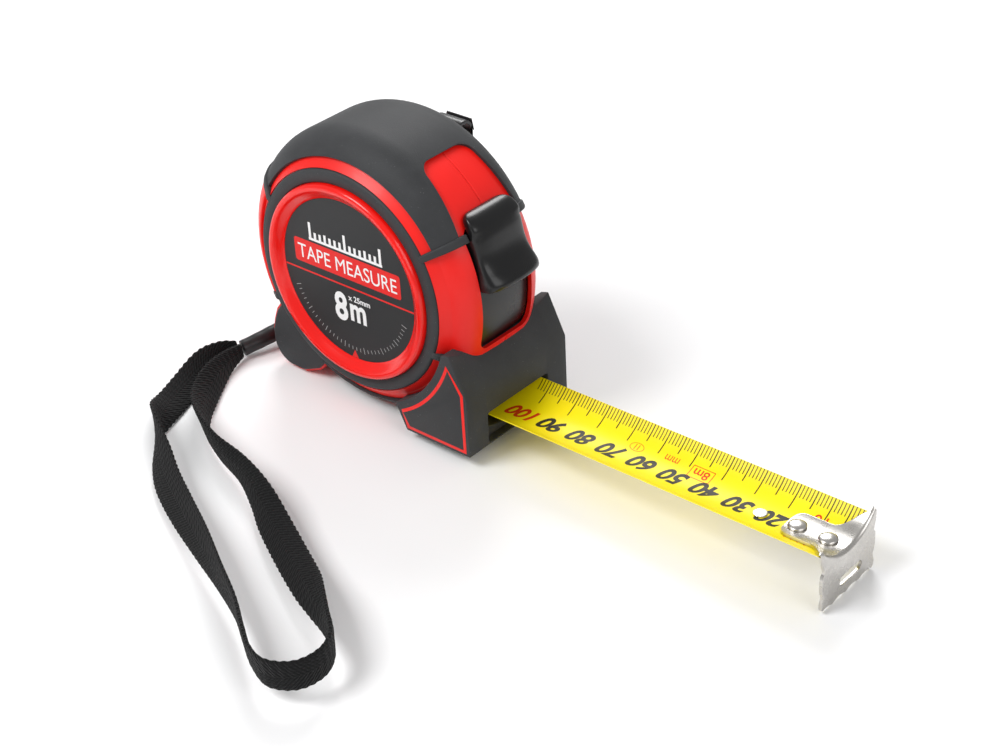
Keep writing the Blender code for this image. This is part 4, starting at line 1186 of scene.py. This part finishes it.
@dataclass
class SideLabels:
    """The printed label on the left side and the plain ring under the belt clip."""

    form: CaseForm
    thickness: float = 0.4
    ink: float = 0.025
    tick_arc: float = 20.9

    def build(self) -> None:
        """Makes both labels and the print."""
        face = self.form.face
        for side in Side:
            s = side.value
            inner = 0.01 if side is Side.LEFT else 6.25
            outline = [(inner, face), (inner, face + 0.4), (23.8, face + 0.4), (23.95, face + 0.3)]
            outline = [(r, y * s) for r, y in outline + [(23.95, face)]]
            label = Bench.turned(f"label_disc_{side.tag}", outline, self.form.axle, steps=96)
            deliver(label, LABEL_BLACK, "case", [f"label_{side.tag}"], 30)
        self._print()

    def _patch(self, outline: Sequence[Point2]) -> bpy.types.Object:
        """Lays a flat patch of ink in the XY plane."""
        patch = Bench.loop("patch", [(x, y, 0.0) for x, y in outline])
        with Bench.editing(patch):
            bpy.ops.mesh.edge_face_add()
        return patch

    def _bar(
        self, centre: Point2, width: float, height: float, corner: float = 0.0, turn: float = 0.0
    ) -> bpy.types.Object:
        """Lays a bar of ink, with round corners if asked.

        Args:
            centre: Its middle.
            width: Its width.
            height: Its height.
            corner: The corners' radius.
            turn: Its turn in degrees.

        Returns:
            The flat patch.
        """
        w, h = width / 2 - corner, height / 2 - corner
        outline: list[Point2] = []
        for x, y, start in ((w, h, 0), (-w, h, 90), (-w, -h, 180), (w, -h, 270)):
            outline += arc((x, y), corner, start, start + 90, 5) if corner else [(x, y)]
        a = radians(turn)
        return self._patch([
            (x * cos(a) - y * sin(a) + centre[0], x * sin(a) + y * cos(a) + centre[1]) for x, y in outline
        ])

    def _words(
        self, words: str, centre: Point2, height: float, weight: float = 0.0, stretch: float = 1.0
    ) -> bpy.types.Object:
        """Letters a line of the label in the XY plane."""
        piece = Bench.lettering("words", words, height, 0.0, weight)
        for vert in piece.data.vertices:
            vert.co.x = vert.co.x * stretch + centre[0]
            vert.co.y += centre[1]
        return piece

    def _ruler_mark(self) -> list[bpy.types.Object]:
        """Draws a plain ruler sign: a base line with long and short marks."""
        pieces = [self._bar((0.0, 8.95), 27.0, 0.75)]
        for k in range(15):
            height = 4.6 if k % 7 == 0 else 2.3 if k % 7 in (3, 4) and k % 2 else 1.9
            pieces.append(self._bar((-12.9 + k * 25.8 / 14, 9.3 + height / 2), 0.85, height))
        return pieces

    def _print(self) -> None:
        """Lays every ink of the left label and gives it a little body."""
        ring = [
            self._bar(
                (self.tick_arc * cos(radians(a)), self.tick_arc * sin(radians(a))),
                1.1 if k % 5 else 1.9, 0.15, 0.0, a,
            )
            for k, a in enumerate(range(200, 341, 4))
        ]
        inks = {
            "label_ink_red": (LABEL_RED, 0.0, [
                self._bar((0.0, 4.3), 39.0, 7.2, 0.8),
                self._bar((0.0, -1.7), 47.4, 0.5),
                self._patch([(-1.3, -23.9), (1.3, -23.9), (0.0, -21.4)]),
            ]),
            "label_ink_white": (LABEL_WHITE, 0.02, [
                self._words("TAPE MEASURE", (0.0, 4.3), 4.3, 0.0, 0.88),
                self._words("8", (-3.6, -8.6), 8.2, 0.34, 0.82),
                self._words("m", (2.7, -8.1), 7.2, 0.3, 0.8),
                self._words("x 25mm", (3.5, -4.9), 1.7, 0.04),
                *self._ruler_mark(),
            ]),
            "label_ink_grey": (LABEL_GREY, 0.0, ring),
        }
        for name, (finish, lift, pieces) in inks.items():
            ink = Bench.join(name, pieces)
            Bench.modify(ink, "SOLIDIFY", thickness=self.ink + lift, offset=-1.0)
            surface = -(self.form.face + self.thickness)
            for vert in ink.data.vertices:
                x, z, out = vert.co
                vert.co = (x, surface - abs(out) + 0.004, z + self.form.axle[1])
            with Bench.editing(ink):
                bpy.ops.mesh.normals_make_consistent(inside=False)
            deliver(ink, finish, "case", angle=30)


# ---------------------------------------------------------------- lock


@dataclass
class ThumbLock:
    """The glossy slider: a thumb pad with a lip over a skirt that closes its window."""

    form: CaseForm
    half: float = 9.7
    skirt_radii: Point2 = (36.4, 38.3)
    skirt_span: Point2 = (-30.0, 47.0)
    heights: tuple[tuple[float, float, float], ...] = (
        (37.6, 40.5, 4.6), (37.4, 41.0, 6.0), (36.8, 41.8, 7.2), (35.6, 42.7, 8.2), (33.6, 43.6, 8.8),
        (30.6, 44.2, 9.1), (27.2, 44.1, 9.2), (24.0, 43.5, 9.1), (21.0, 43.0, 9.1), (18.0, 43.0, 9.2),
        (15.4, 43.6, 9.3), (13.2, 44.7, 9.5), (11.4, 45.6, 9.65), (10.0, 46.0, 9.7), (8.9, 45.8, 9.7),
        (8.2, 45.0, 9.65), (7.9, 43.4, 9.6), (8.0, 41.0, 9.5), (8.4, 38.6, 9.3), (8.8, 37.0, 9.1),
    )

    def build(self) -> None:
        """Makes the pad and the skirt as one piece."""
        low, high = self.skirt_span
        inner, outer = self.skirt_radii
        profile = [(inner, -self.half), (outer, -self.half), (outer, self.half), (inner, self.half)]
        skirt = Bench.turned("lock_skirt", profile, self.form.axle, low, high - low, 48)
        Bench.soften(skirt, 0.4, 3, 50)
        arm = [(36.5, -4.8), (37.3, -4.8), (37.3, 4.8), (36.5, 4.8)]
        pieces = [skirt, Bench.turned("lock_arm", arm, self.form.axle, -42.0, 14.0, 10), self._pad()]
        deliver(Bench.join("thumb_slider", pieces), BLACK_GLOSS, "lock", ["lock_slider"], 55)

    def _pad(self) -> bpy.types.Object:
        """Lofts the pad through its stations along the case."""
        stations = smooth_route(self.heights, 3)
        sunk = self.skirt_radii[0] + 0.5

        def point_at(u: float, v: float) -> Point3:
            angle, top, half = stations[round(u * (len(stations) - 1))]
            over_wall = eased((angle - 28.5) / 2.0)
            base = sunk + (self.form.crown_radius + 0.3 - sunk) * over_wall
            turn = 2 * pi * v
            power = 2 / 5.5
            across = half * squared(cos(turn), power)
            share = squared(sin(turn), power)
            crown = 1 - 0.16 * (across / self.half) ** 2 * (top - base) / 8
            radius = base + (max(top, base + 0.3) - base) * (share * 0.5 + 0.5) * crown
            x, z = self.form.at(radius, angle)
            return x, across, z

        return Bench.grid("pad", len(stations) - 1, 72, point_at, tube=True)


# ---------------------------------------------------------------- blade and hook


@dataclass
class BladeForm:
    """The drawn-out blade's sizes and its cross-section."""

    width: float = 25.0
    curve: float = 15.5
    trough: float = 4.197
    zero: float = 144.3
    start: float = 3.0
    settled: float = 16.0
    coil_line: float = 7.8
    thickness: float = 0.2

    @property
    def end(self) -> float:
        """The x of the blade's front end, behind the hook's play."""
        return self.zero - 1.1

    def curl(self, x: float) -> float:
        """How far the blade has sprung into its curve at a distance along X."""
        return eased((x - self.start) / (self.settled - self.start))

    def point(self, x: float, across: float, lift: float = 0.0) -> Point3:
        """Gives a point on or above the blade.

        Args:
            x: Its place along the blade.
            across: Its distance from the middle, measured over the curve.
            lift: How far above the surface.

        Returns:
            The point.
        """
        curl = self.curl(x)
        base = self.coil_line + (self.trough - self.coil_line) * curl
        if curl < 0.02:
            return x, across, base + lift
        radius = self.curve / curl
        turn = across / radius
        return x, (radius - lift) * sin(turn), base + radius - (radius - lift) * cos(turn)


@dataclass
class Blade:
    """The curved steel blade with its printed millimetre scale."""

    form: BladeForm
    numbers: tuple[int, ...] = (20, 30, 40, 50, 60, 70, 80, 90)
    ink: float = 0.02
    drawn_in: float = 101.5
    coil_room: float = 5.0
    fold_step: float = 0.7
    oval_centre: Point2 = (66.2, 8.0)

    def build(self) -> None:
        """Makes the strip and its print."""
        form = self.form

        def point_at(u: float, v: float) -> Point3:
            x = form.start + (form.end - form.start) * u
            return form.point(x, (v - 0.5) * form.width)

        strip = Bench.grid("blade_strip", 120, 28, point_at)
        Bench.modify(strip, "SOLIDIFY", thickness=form.thickness, offset=0.0)
        deliver(strip, BLADE_LACQUER, "blade_run", ["blade"], 40)
        self._draw_in(strip)
        for name, finish, pieces in (
            ("scale_black", SCALE_BLACK, self._ticks() + self._figures()),
            ("scale_red", SCALE_RED, self._red_print()),
        ):
            self._draw_in(self._lay(name, finish, pieces))

    def _draw_in(self, piece: bpy.types.Object) -> None:
        """Gives a piece its own copy of its mesh."""
        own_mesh(piece)

    def _lay(self, name: str, finish: Finish, pieces: list[bpy.types.Object]) -> bpy.types.Object:
        """Wraps flat print onto the blade from its distances to the hook and to the far edge."""
        form = self.form
        ink = Bench.join(name, pieces)
        with Bench.editing(ink):
            for k in range(1, int(form.width / self.fold_step)):
                bpy.ops.mesh.select_all(action="SELECT")
                bpy.ops.mesh.bisect(plane_co=(0, k * self.fold_step, 0), plane_no=(0, 1, 0))
        Bench.modify(ink, "SOLIDIFY", thickness=self.ink, offset=1.0)
        for vert in ink.data.vertices:
            s, t, lift = vert.co
            above = form.thickness / 2 + 0.004 + abs(lift)
            vert.co = form.point(form.zero - s, form.width / 2 - t, above)
        with Bench.editing(ink):
            bpy.ops.mesh.normals_make_consistent(inside=False)
        return deliver(ink, finish, "blade_run", angle=60)

    @staticmethod
    def _stroke(a: Point2, b: Point2, width: float) -> bpy.types.Object:
        """Draws a straight stroke of ink between two places."""
        length = hypot(b[0] - a[0], b[1] - a[1])
        nx, ny = (a[1] - b[1]) / length * width / 2, (b[0] - a[0]) / length * width / 2
        corners = [(a[0] + nx, a[1] + ny, 0.0), (a[0] - nx, a[1] - ny, 0.0)]
        stroke = Bench.loop("stroke", corners + [(b[0] - nx, b[1] - ny, 0.0), (b[0] + nx, b[1] + ny, 0.0)])
        with Bench.editing(stroke):
            bpy.ops.mesh.edge_face_add()
        return stroke

    def _ticks(self) -> list[bpy.types.Object]:
        """Draws the millimetre marks on the far edge and the slanted marks on the near one."""
        strokes = []
        for mm in range(2, 104):
            length = 7.3 if mm % 10 == 0 else 5.2 if mm % 5 == 0 else 3.5
            width = 0.30 if mm % 5 == 0 else 0.23
            strokes.append(self._stroke((mm, 0.05), (mm, length), width))
        edge = self.form.width - 0.1
        for mm in range(10, 104, 5):
            reach = 2.3 if mm % 10 == 0 else 1.3
            strokes.append(self._stroke((mm + 0.2, edge), (mm + 1.6, edge - reach), 0.16))
            strokes.append(self._stroke((mm + 1.3, edge), (mm + 2.4, edge - reach * 0.7), 0.14))
        return strokes

    def _figure(
        self, words: str, centre: Point2, height: float, shear: float, weight: float, stretch: float = 1.0
    ) -> bpy.types.Object:
        """Letters a figure so that it reads from the far side of the blade.

        Args:
            words: What it says.
            centre: Its middle, from the hook and from the far edge.
            height: Its height.
            shear: Its slant.
            weight: Its boldness.
            stretch: Its width as a share of the plain font's.

        Returns:
            The flat figure.
        """
        piece = Bench.lettering("figure", words, height, shear, weight)
        for vert in piece.data.vertices:
            vert.co.x = centre[0] + vert.co.x * stretch
            vert.co.y = centre[1] + vert.co.y
        return piece

    def _figures(self) -> list[bpy.types.Object]:
        """Letters the black tens."""
        return [self._figure(str(n), (n + 1.4, 12.9), 5.3, 0.28, 0.27, 0.93) for n in self.numbers]

    def _frame(self, centre: Point2, width: float, height: float, line: float) -> list[bpy.types.Object]:
        """Draws a thin rectangle."""
        x, y, w, h = *centre, width / 2, height / 2
        corners = [(x - w, y - h), (x + w, y - h), (x + w, y + h), (x - w, y + h)]
        return [self._stroke(corners[k], corners[(k + 1) % 4], line) for k in range(4)]

    def _red_print(self) -> list[bpy.types.Object]:
        """Letters the red hundred and ten, the unit, the boxed length and the class mark."""
        red = [
            self._figure("100", (101.4, 13.0), 4.9, 0.28, 0.22, 0.90),
            self._figure("10", (10.9, 7.3), 3.4, 0.0, 0.02, 1.0),
            self._figure("mm", (55.4, 7.6), 2.6, 0.0, 0.0, 0.8),
            self._figure("8m", (45.7, 8.2), 2.7, 0.0, 0.05),
        ]
        red += self._frame((45.7, 8.2), 6.6, 3.9, 0.2)
        mid_x, mid_y = self.oval_centre
        around = arc(self.oval_centre, 1.0, 0, 360, 20)
        oval = [(mid_x + (x - mid_x) * 2.1, mid_y + (y - mid_y) * 1.35) for x, y in around]
        red += [self._stroke(oval[k], oval[k + 1], 0.15) for k in range(20)]
        red += [self._stroke((x, 7.1), (x, 8.9), 0.22) for x in (65.7, 66.7)]
        red += [self._stroke((k * 1.9 + 8.5, 18.2), (k * 1.9 + 9.6, 16.9), 0.2) for k in range(4)]
        return red


@dataclass
class EndHook:
    """The plated end hook with its curved tab, three rivets and nail slot."""

    blade: BladeForm
    thickness: float = 0.9
    tab_length: float = 17.5
    plate_half: float = 11.85
    bottom: float = -7.3
    fold: float = 0.72
    rivet_places: tuple[tuple[str, float], ...] = (
        ("hook_rivet_front", 5.2), ("hook_rivet_middle", 14.0), ("hook_rivet_rear", 24.8),
    )

    def build(self) -> None:
        """Makes the hook and its rivets."""
        self._sheet()
        for node, back in self.rivet_places:
            self._rivet(node, back)

    def _stations(self) -> list[tuple[str, float, float]]:
        """Lists the sheet's stations: tab by distance back, fold by angle, plate by share down."""
        tab = [(17.5, 1.2), (17.42, 2.2), (17.2, 3.0), (16.8, 3.8), (16.2, 4.4), (15.4, 4.8), (14.4, 4.98)]
        tab += [(12.0, 5.0), (9.5, 5.0), (7.8, 5.0), (6.8, 5.15), (5.8, 5.7), (4.9, 6.6), (4.0, 7.7)]
        tab += [(3.2, 8.8), (2.5, 9.6), (1.9, 10.1), (1.5, 10.4), (1.2, 10.6), (0.97, 10.8)]
        down = [(0.04, 11.8), (0.1, 11.8), (0.16, 11.75), (0.22, 11.3), (0.27, 11.0), (0.32, 11.3)]
        down += [(0.38, 11.8), (0.46, 11.85), (0.54, 11.85), (0.62, 11.8), (0.68, 11.5), (0.73, 11.1)]
        down += [(0.78, 11.2), (0.84, 11.6), (0.9, 11.75), (0.95, 11.7), (0.98, 11.5), (1.0, 11.2)]
        return (
            [("tab", back, half) for back, half in tab]
            + [("fold", angle, self.plate_half - 0.1) for angle in range(0, 91, 15)]
            + [("plate", share, half) for share, half in down]
        )

    def _sheet(self) -> None:
        """Bends the tab, fold and plate from one sheet, then cuts the slot."""
        stations = self._stations()
        blade, mid = self.blade, self.thickness / 2
        rest = blade.trough + 0.2 + mid
        face = blade.zero + mid

        def point_at(u: float, v: float) -> Point3:
            kind, value, half = stations[round(u * (len(stations) - 1))]
            y = (v - 0.5) * 2 * half
            bend = blade.curve - 0.2 - mid
            rise = rest + bend - (bend**2 - y**2) ** 0.5
            if kind == "tab":
                return face - value, y, rise
            if kind == "fold":
                turn = radians(value)
                return face - self.fold * (1 - sin(turn)), y, rise - self.fold * (1 - cos(turn))
            scallop = 0.75 * abs(sin(y / 11.8 * 2 * pi + 0.5)) ** 0.8
            foot = self.bottom + scallop * value**3
            top = rise - self.fold
            return face, y, top + (foot - top) * value

        sheet = Bench.grid("end_hook_plate", len(stations) - 1, 48, point_at)
        Bench.modify(sheet, "SOLIDIFY", thickness=self.thickness, offset=0.0, use_even_offset=True)
        slot = arc((4.6, -2.7), 1.5, -90, 90, 8) + arc((-2.6, -2.7), 1.5, 90, 270, 8)
        Bench.combine(sheet, Bench.prism("nail_slot", slot, Plane.YZ, blade.zero - 2, blade.zero + 3))
        Bench.soften(sheet, 0.16, 2, 50)
        deliver(sheet, NICKEL, "end_hook", ["hook"], 50)

    def _rivet(self, node: str, back: float) -> None:
        """Turns one rivet with its low domed head."""
        x = self.blade.zero - back
        on_tab = back < self.tab_length
        top = self.blade.trough + (1.28 if on_tab else 0.28)
        head, height = (2.5, 1.05) if on_tab else (1.85, 0.4)
        turns = [radians(a) for a in range(0, 91, 10)]
        dome = [(head * sin(t), top + 0.25 + (height - 0.25) * cos(t)) for t in turns]
        profile = [(0.01, dome[0][1])] + dome[1:] + [(head, top), (head - 0.1, top - 0.12), (1.2, top - 0.12)]
        profile += [(1.2, 3.1), (1.9, 3.1), (1.9, 2.85), (1.5, 2.6), (0.01, 2.55)]
        rivet = Bench.lathe_up(node.replace("hook_", "") + "_head", profile, (x, 0.0), 40)
        deliver(rivet, NICKEL, "blade_run", [node], 50)


# ---------------------------------------------------------------- clip, screws and reel


@dataclass
class BeltClip:
    """The coated spring clip on the right side."""

    seat: float = 22.2
    fold: float = 3.0
    fold_z: float = 67.0
    foot_z: float = 22.0
    half: float = 4.75
    thickness: float = 1.0

    def build(self) -> None:
        """Bends the clip from one strip and rounds its ends."""
        seat, fold = self.seat, self.fold
        outer = seat + 2 * fold
        bend = [(y, z) for y, z in arc((seat + fold, self.fold_z), fold, 180, 0, 16)]
        path = [(seat, 32.6), (seat, 39.5), (seat, 50.0), (seat, 60.0)] + bend
        path += [(outer - 0.1, 60.0), (outer - 0.4, 50.0), (outer - 0.7, 40.0), (outer - 0.95, 31.0)]
        path += [(outer - 0.6, 28.0), (outer + 0.1, 25.0), (outer + 1.2, self.foot_z)]
        stations = smooth_route(path, 2)
        ends = len(stations) - 1

        def point_at(u: float, v: float) -> Point3:
            k = round(u * ends)
            reach = min(k, ends - k) / 4
            half = self.half * (0.72 + 0.28 * min(1.0, reach) ** 0.5)
            y, z = stations[k]
            return (v - 0.5) * 2 * half, y, z

        clip = Bench.grid("belt_clip_spring", ends, 10, point_at)
        Bench.modify(clip, "SOLIDIFY", thickness=self.thickness, offset=0.0, use_even_offset=True)
        with Bench.editing(clip):
            bpy.ops.mesh.normals_make_consistent(inside=False)
        Bench.soften(clip, 0.25, 3, 50)
        deliver(clip, CLIP_COAT, "case", ["belt_clip"], 45)


@dataclass
class Screws:
    """The cross-head screws, each turned and recessed on its own."""

    places: dict[str, Point2]
    top: float = 12.2
    head: float = 2.1
    length: float = 19.0

    def build(self) -> None:
        """Makes the case screws and the clip's screw."""
        for node, (x, z) in self.places.items():
            deliver(self._screw(node, x, z, self.top, self.head, self.length, 1.1), ZINC, "case", [node], 40)
        deliver(self._screw("clip_screw", 0.0, 39.5, 24.2, 3.0, 16.2, 1.5), ZINC, "case", ["clip_screw"], 40)

    @staticmethod
    def _screw(
        node: str, x: float, z: float, top: float, head: float, length: float, shank: float
    ) -> bpy.types.Object:
        """Turns a pan-head screw about an axis along Y and cuts its cross recess.

        Args:
            node: The CAD node it stands for.
            x: The axis's x.
            z: The axis's z.
            top: The y of the head's top.
            head: The head's radius.
            length: The overall length.
            shank: The shank's radius.

        Returns:
            The screw.
        """
        profile = [(0.01, top), (head * 0.6, top - 0.05), (head * 0.88, top - 0.3), (head, top - 0.75)]
        profile += [(head, top - 1.3), (shank, top - 1.3), (shank, top - length + 1.2), (0.01, top - length)]
        screw = Bench.turned(f"{node}_turned", profile, (x, z), steps=32)
        reach, width = head * 0.6, head * 0.17
        cross = []
        for u, v in ((1, 0), (0, 1), (-1, 0), (0, -1)):
            left = (u * reach - v * width, v * reach + u * width)
            right = (u * reach + v * width, v * reach - u * width)
            inner = (u * width - v * width, v * width + u * width)
            cross += [right, left, inner]
        outline = [(x + u, z + v) for u, v in cross]
        Bench.combine(screw, Bench.prism("recess", outline, Plane.XZ, top - 0.9, top + 2))
        return screw


# ---------------------------------------------------------------- wrist strap


@dataclass
class WristStrap:
    """The woven loop, laid on the table, and the sleeve that holds its two ends."""

    width: float = 8.8
    thickness: float = 1.2
    sleeve_radius: float = 2.4
    exit: Point3 = (-45.2, -21.2, 3.2)
    scallop_pitch: float = 2.1
    sleeve_route: tuple[Point3, ...] = (
        (-33.0, 0.0, 5.6), (-35.5, -0.1, 5.6), (-38.8, -1.9, 5.5), (-40.9, -5.6, 5.2), (-42.0, -10.5, 4.7),
        (-43.4, -15.8, 4.0), (-45.2, -21.2, 3.2),
    )
    route: tuple[Point3, ...] = field(default=(
        (-46.6, -21.8, 8), (-47.6, -26.5, 20), (-46.8, -33.5, 38), (-44.5, -42.9, 62), (-41.6, -51.0, 66),
        (-37.6, -58.2, 40), (-33.1, -63.7, 5), (-28.0, -68.0, -15), (-21.0, -73.0, -38), (-12.0, -78.8, -48),
        (0.3, -85.0, -44), (15.5, -92.0, -28), (28.9, -98.3, -10), (41.3, -104.4, 0), (50.0, -110.0, 4),
        (57.5, -114.6, 6), (64.5, -116.4, 4), (70.5, -112.8, 2), (72.0, -106.0, 0), (69.0, -99.8, 0),
        (62.5, -95.2, 8), (55.0, -91.0, 30), (47.0, -86.6, 55), (36.0, -80.9, 66), (23.1, -74.4, 58),
        (12.5, -69.0, 34), (0.8, -64.2, 10), (-11.5, -61.0, -4), (-22.0, -56.6, -12), (-29.6, -51.0, -30),
        (-35.2, -44.4, -42), (-39.2, -37.0, -30), (-42.6, -28.6, -16), (-44.3, -22.2, -8),
    ))

    def build(self) -> None:
        """Makes the web and its sleeve."""
        sleeve = self._sleeve()
        self._web()

    def _stations(self) -> list[tuple[Vector, float, float]]:
        """Gives the web's stations as a point, a lean in radians and a share of the full width."""
        last = len(self.route) - 1
        held = []
        for k, (x, y, turn) in enumerate(self.route):
            share = min(1.0, 0.5 + 0.25 * min(k, last - k))
            lean = radians(turn)
            rise = self.width / 2 * share * cos(lean) + self.thickness / 2 * (abs(sin(lean)) + 0.1)
            held.append((x, y, rise + (1 - share) * 2, lean, share))
        return [(Vector(p[:3]), p[3], p[4]) for p in smooth_route(held, 24)]

    def _web(self) -> None:
        """Sweeps the woven web with its scalloped edges along the route."""
        stations = self._stations()
        last = len(stations) - 1
        places = [station[0] for station in stations]
        run = [0.0]
        for k in range(last):
            run.append(run[-1] + (places[k + 1] - places[k]).length)
        around = 24

        up = Vector((0, 0, 1))

        def frame_at(k: int) -> tuple[Vector, Vector]:
            ahead = places[min(k + 1, last)] - places[max(k - 1, 0)]
            lean = stations[k][1]
            side = Vector((ahead.x, ahead.y, 0)).normalized().cross(up)
            return up * cos(lean) + side * sin(lean), side * cos(lean) - up * sin(lean)

        def point_at(u: float, v: float) -> Point3:
            k = round(u * last)
            broad, thin = frame_at(k)
            turn = 2 * pi * v
            share = stations[k][2]
            ripple = 1 + 0.035 * sin(2 * pi * run[k] / self.scallop_pitch)
            across = self.width / 2 * share * ripple * squared(cos(turn), 0.5)
            cord = 1 + 0.16 * sin(2 * pi * run[k] / self.scallop_pitch + 3.0 * abs(across) / self.width * 2)
            through = self.thickness / 2 * cord * squared(sin(turn), 0.6)
            return tuple(places[k] + broad * across + thin * through)

        web = Bench.grid("wrist_web", last, around, point_at)
        self._map_web(web, last, around, run)
        with Bench.editing(web):
            Bench.sew(capped=True, threshold=0.0005)
        deliver(web, WOVEN_WEB, "case", ["wrist_strap", "strap_sleeve"], 60)
        path = [tuple(p * MM) for p in places[::6]] + [tuple(places[-1] * MM)]
        log.info("the web is %.1f mm long", run[-1])
        tuple(c * MM for c in self.exit)

    def _map_web(self, web: bpy.types.Object, last: int, around: int, run: list[float]) -> None:
        """Gives the web a UV map in millimetres along and across it."""
        layer = web.data.uv_layers.new(name="web")
        grid_rows = last + 1
        for loop in web.data.loops:
            index = loop.vertex_index
            k, row = index % grid_rows, index // grid_rows
            turn = 2 * pi * row / around
            across = self.width / 2 * squared(cos(turn), 0.5)
            layer.data[loop.index].uv = (run[k], across)
        for extra in [uv for uv in web.data.uv_layers if uv.name != "web"]:
            web.data.uv_layers.remove(extra)

    def _sleeve(self) -> bpy.types.Object:
        """Sweeps the satin sleeve along its route, narrowed at both ends."""
        places = smooth_route(self.sleeve_route, 10)
        last = len(places) - 1

        def point_at(u: float, v: float) -> Point3:
            k = round(u * last)
            ahead = (places[min(k + 1, last)] - places[max(k - 1, 0)]).normalized()
            side = ahead.cross(Vector((0, 0, 1))).normalized()
            up = side.cross(ahead)
            turn = 2 * pi * v
            ease = 0.55 if k in (0, last) else 1.0
            wave = 1 + 0.012 * sin(k * 0.9) + 0.02 * sin(2 * turn + k * 0.15)
            reach = self.sleeve_radius * ease * wave
            return tuple(places[k] + side * cos(turn) * reach + up * sin(turn) * reach)

        sleeve = Bench.grid("strap_tube", last, 28, point_at, tube=True)
        return deliver(sleeve, BLACK_SATIN, "case", angle=50)


# ---------------------------------------------------------------- studio


@dataclass
class Studio:
    """The camera, the pale floor and the soft lights."""

    camera_at: Point3 = (0.33308, -0.32922, 0.29442)
    azimuth: float = 0.73508284
    elevation: float = 0.56428313
    roll: float = -0.05625868
    focal: float = 1949.84
    image_width: float = 1000.0
    heel_foot: Point2 = (-0.033, 0.0)
    hook_foot: Point2 = (0.1448, -0.0075)
    floor_gap: float = 0.0002
    floor_size: float = 8.0
    surround: float = 0.45
    aim: Point3 = (0.03, -0.01, 0.03)
    lamps: tuple[tuple[str, Point3, float, float], ...] = (
        ("key", (-0.30, -0.70, 0.95), 0.5, 10.0),
        ("fill", (0.85, -0.15, 0.55), 0.6, 2.6),
        ("rim", (-0.5, 0.7, 0.8), 0.5, 7.0),
    )

    def build(self) -> None:
        """Sets up all of it."""
        self._camera()
        self._floor()
        self._lights()

    def _camera(self) -> None:
        """Places the camera from its direction, roll and focal length."""
        a, e, roll = self.azimuth, self.elevation, self.roll
        right = Vector((cos(a), sin(a), 0))
        ahead = Vector((-sin(a) * cos(e), cos(a) * cos(e), -sin(e)))
        up = right.cross(ahead)
        axis_x = right * cos(roll) + up * sin(roll)
        axis_y = up * cos(roll) - right * sin(roll)
        data = bpy.data.cameras.new("camera")
        data.sensor_width = 36.0
        data.lens = self.focal * data.sensor_width / self.image_width
        data.clip_start = 0.01
        camera = bpy.data.objects.new("camera", data)
        camera.matrix_world = Matrix((
            (axis_x.x, axis_y.x, -ahead.x, self.camera_at[0]),
            (axis_x.y, axis_y.y, -ahead.y, self.camera_at[1]),
            (axis_x.z, axis_y.z, -ahead.z, self.camera_at[2]),
            (0, 0, 0, 1),
        ))
        bpy.context.scene.collection.objects.link(camera)
        bpy.context.scene.camera = camera
        bpy.context.scene.view_settings.view_transform = "Standard"

    def _floor(self) -> None:
        """Lays a pale floor that touches the heel and the hook's foot."""
        bpy.ops.object.select_all(action="DESELECT")
        bpy.ops.mesh.primitive_plane_add(size=self.floor_size)
        floor = bpy.context.object
        floor.name = "table"
        slope = (self.hook_foot[1] - self.heel_foot[1]) / (self.hook_foot[0] - self.heel_foot[0])
        for vert in floor.data.vertices:
            vert.co.z = self.heel_foot[1] + slope * (vert.co.x - self.heel_foot[0]) - self.floor_gap
        shader = Shader("pale_table")
        cloud = shader.ramp(shader.noise(14, 3), (0.3, 0.0), (0.7, 1.0))
        shader.set(Base_Color=shader.mix(cloud, (0.86, 0.86, 0.865), (0.88, 0.88, 0.885)), Roughness=0.75)
        floor.data.materials.append(shader.material)
        floor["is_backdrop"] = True

    def _lights(self) -> None:
        """Hangs one large key light, a fill, a rim light and a bright surround."""
        world = bpy.data.worlds.new("surround")
        bpy.context.scene.world = world
        world.use_nodes = True
        background = world.node_tree.nodes["Background"]
        background.inputs["Color"].default_value = (1.0, 1.0, 1.0, 1.0)
        background.inputs["Strength"].default_value = self.surround
        for name, place, size, power in self.lamps:
            data = bpy.data.lights.new(name, "AREA")
            data.size = size
            data.energy = power
            light = bpy.data.objects.new(name, data)
            light.location = place
            aim = Vector(self.aim) - Vector(place)
            light.rotation_euler = aim.to_track_quat("-Z", "Y").to_euler()
            bpy.context.scene.collection.objects.link(light)


def box_as_lists() -> list[list[float]]:
    """Gives the whole object's box as plain lists."""
    return [[float(c) for c in corner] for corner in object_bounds()]


def main(frame: dict, cad_box: list[list[float]]) -> None:
    """Builds every piece in order.

    Args:
        cad_box: The CAD model's box; not used.
    """
    Studio().build()
    WristStrap().build()
    form = CaseForm()
    RedShells(form).build()
    GripSkin(form).build()
    SideLabels(form).build()
    ThumbLock(form).build()
    blade = BladeForm()
    Blade(blade).build()
    EndHook(blade).build()
    BeltClip().build()
    Screws({
        "case_screw_nose": (36.9, 14.0),
        "case_screw_heel": (-30.0, 12.0),
        "case_screw_front": form.at(35.6, 64.0),
        "case_screw_rear": form.at(35.6, 135.0),
    }).build()
    for node, finish in (
        ("axle_post", REEL_PLASTIC), ("reel_drum", REEL_PLASTIC), ("reel_cover", REEL_PLASTIC),
        ("reel_washer_left", REEL_PLASTIC), ("reel_washer_right", REEL_PLASTIC),
        ("power_spring", SPRING_STEEL), ("blade_coil", BLADE_LACQUER), ("strap_pin", ZINC),
        ("hook_backing", NICKEL),
    ):
        carry_over(frame, node, finish)


if __name__ == "__main__":
    logging.basicConfig(level=logging.INFO, format="%(message)s", stream=sys.stdout)
    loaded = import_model()
    main(loaded, box_as_lists())
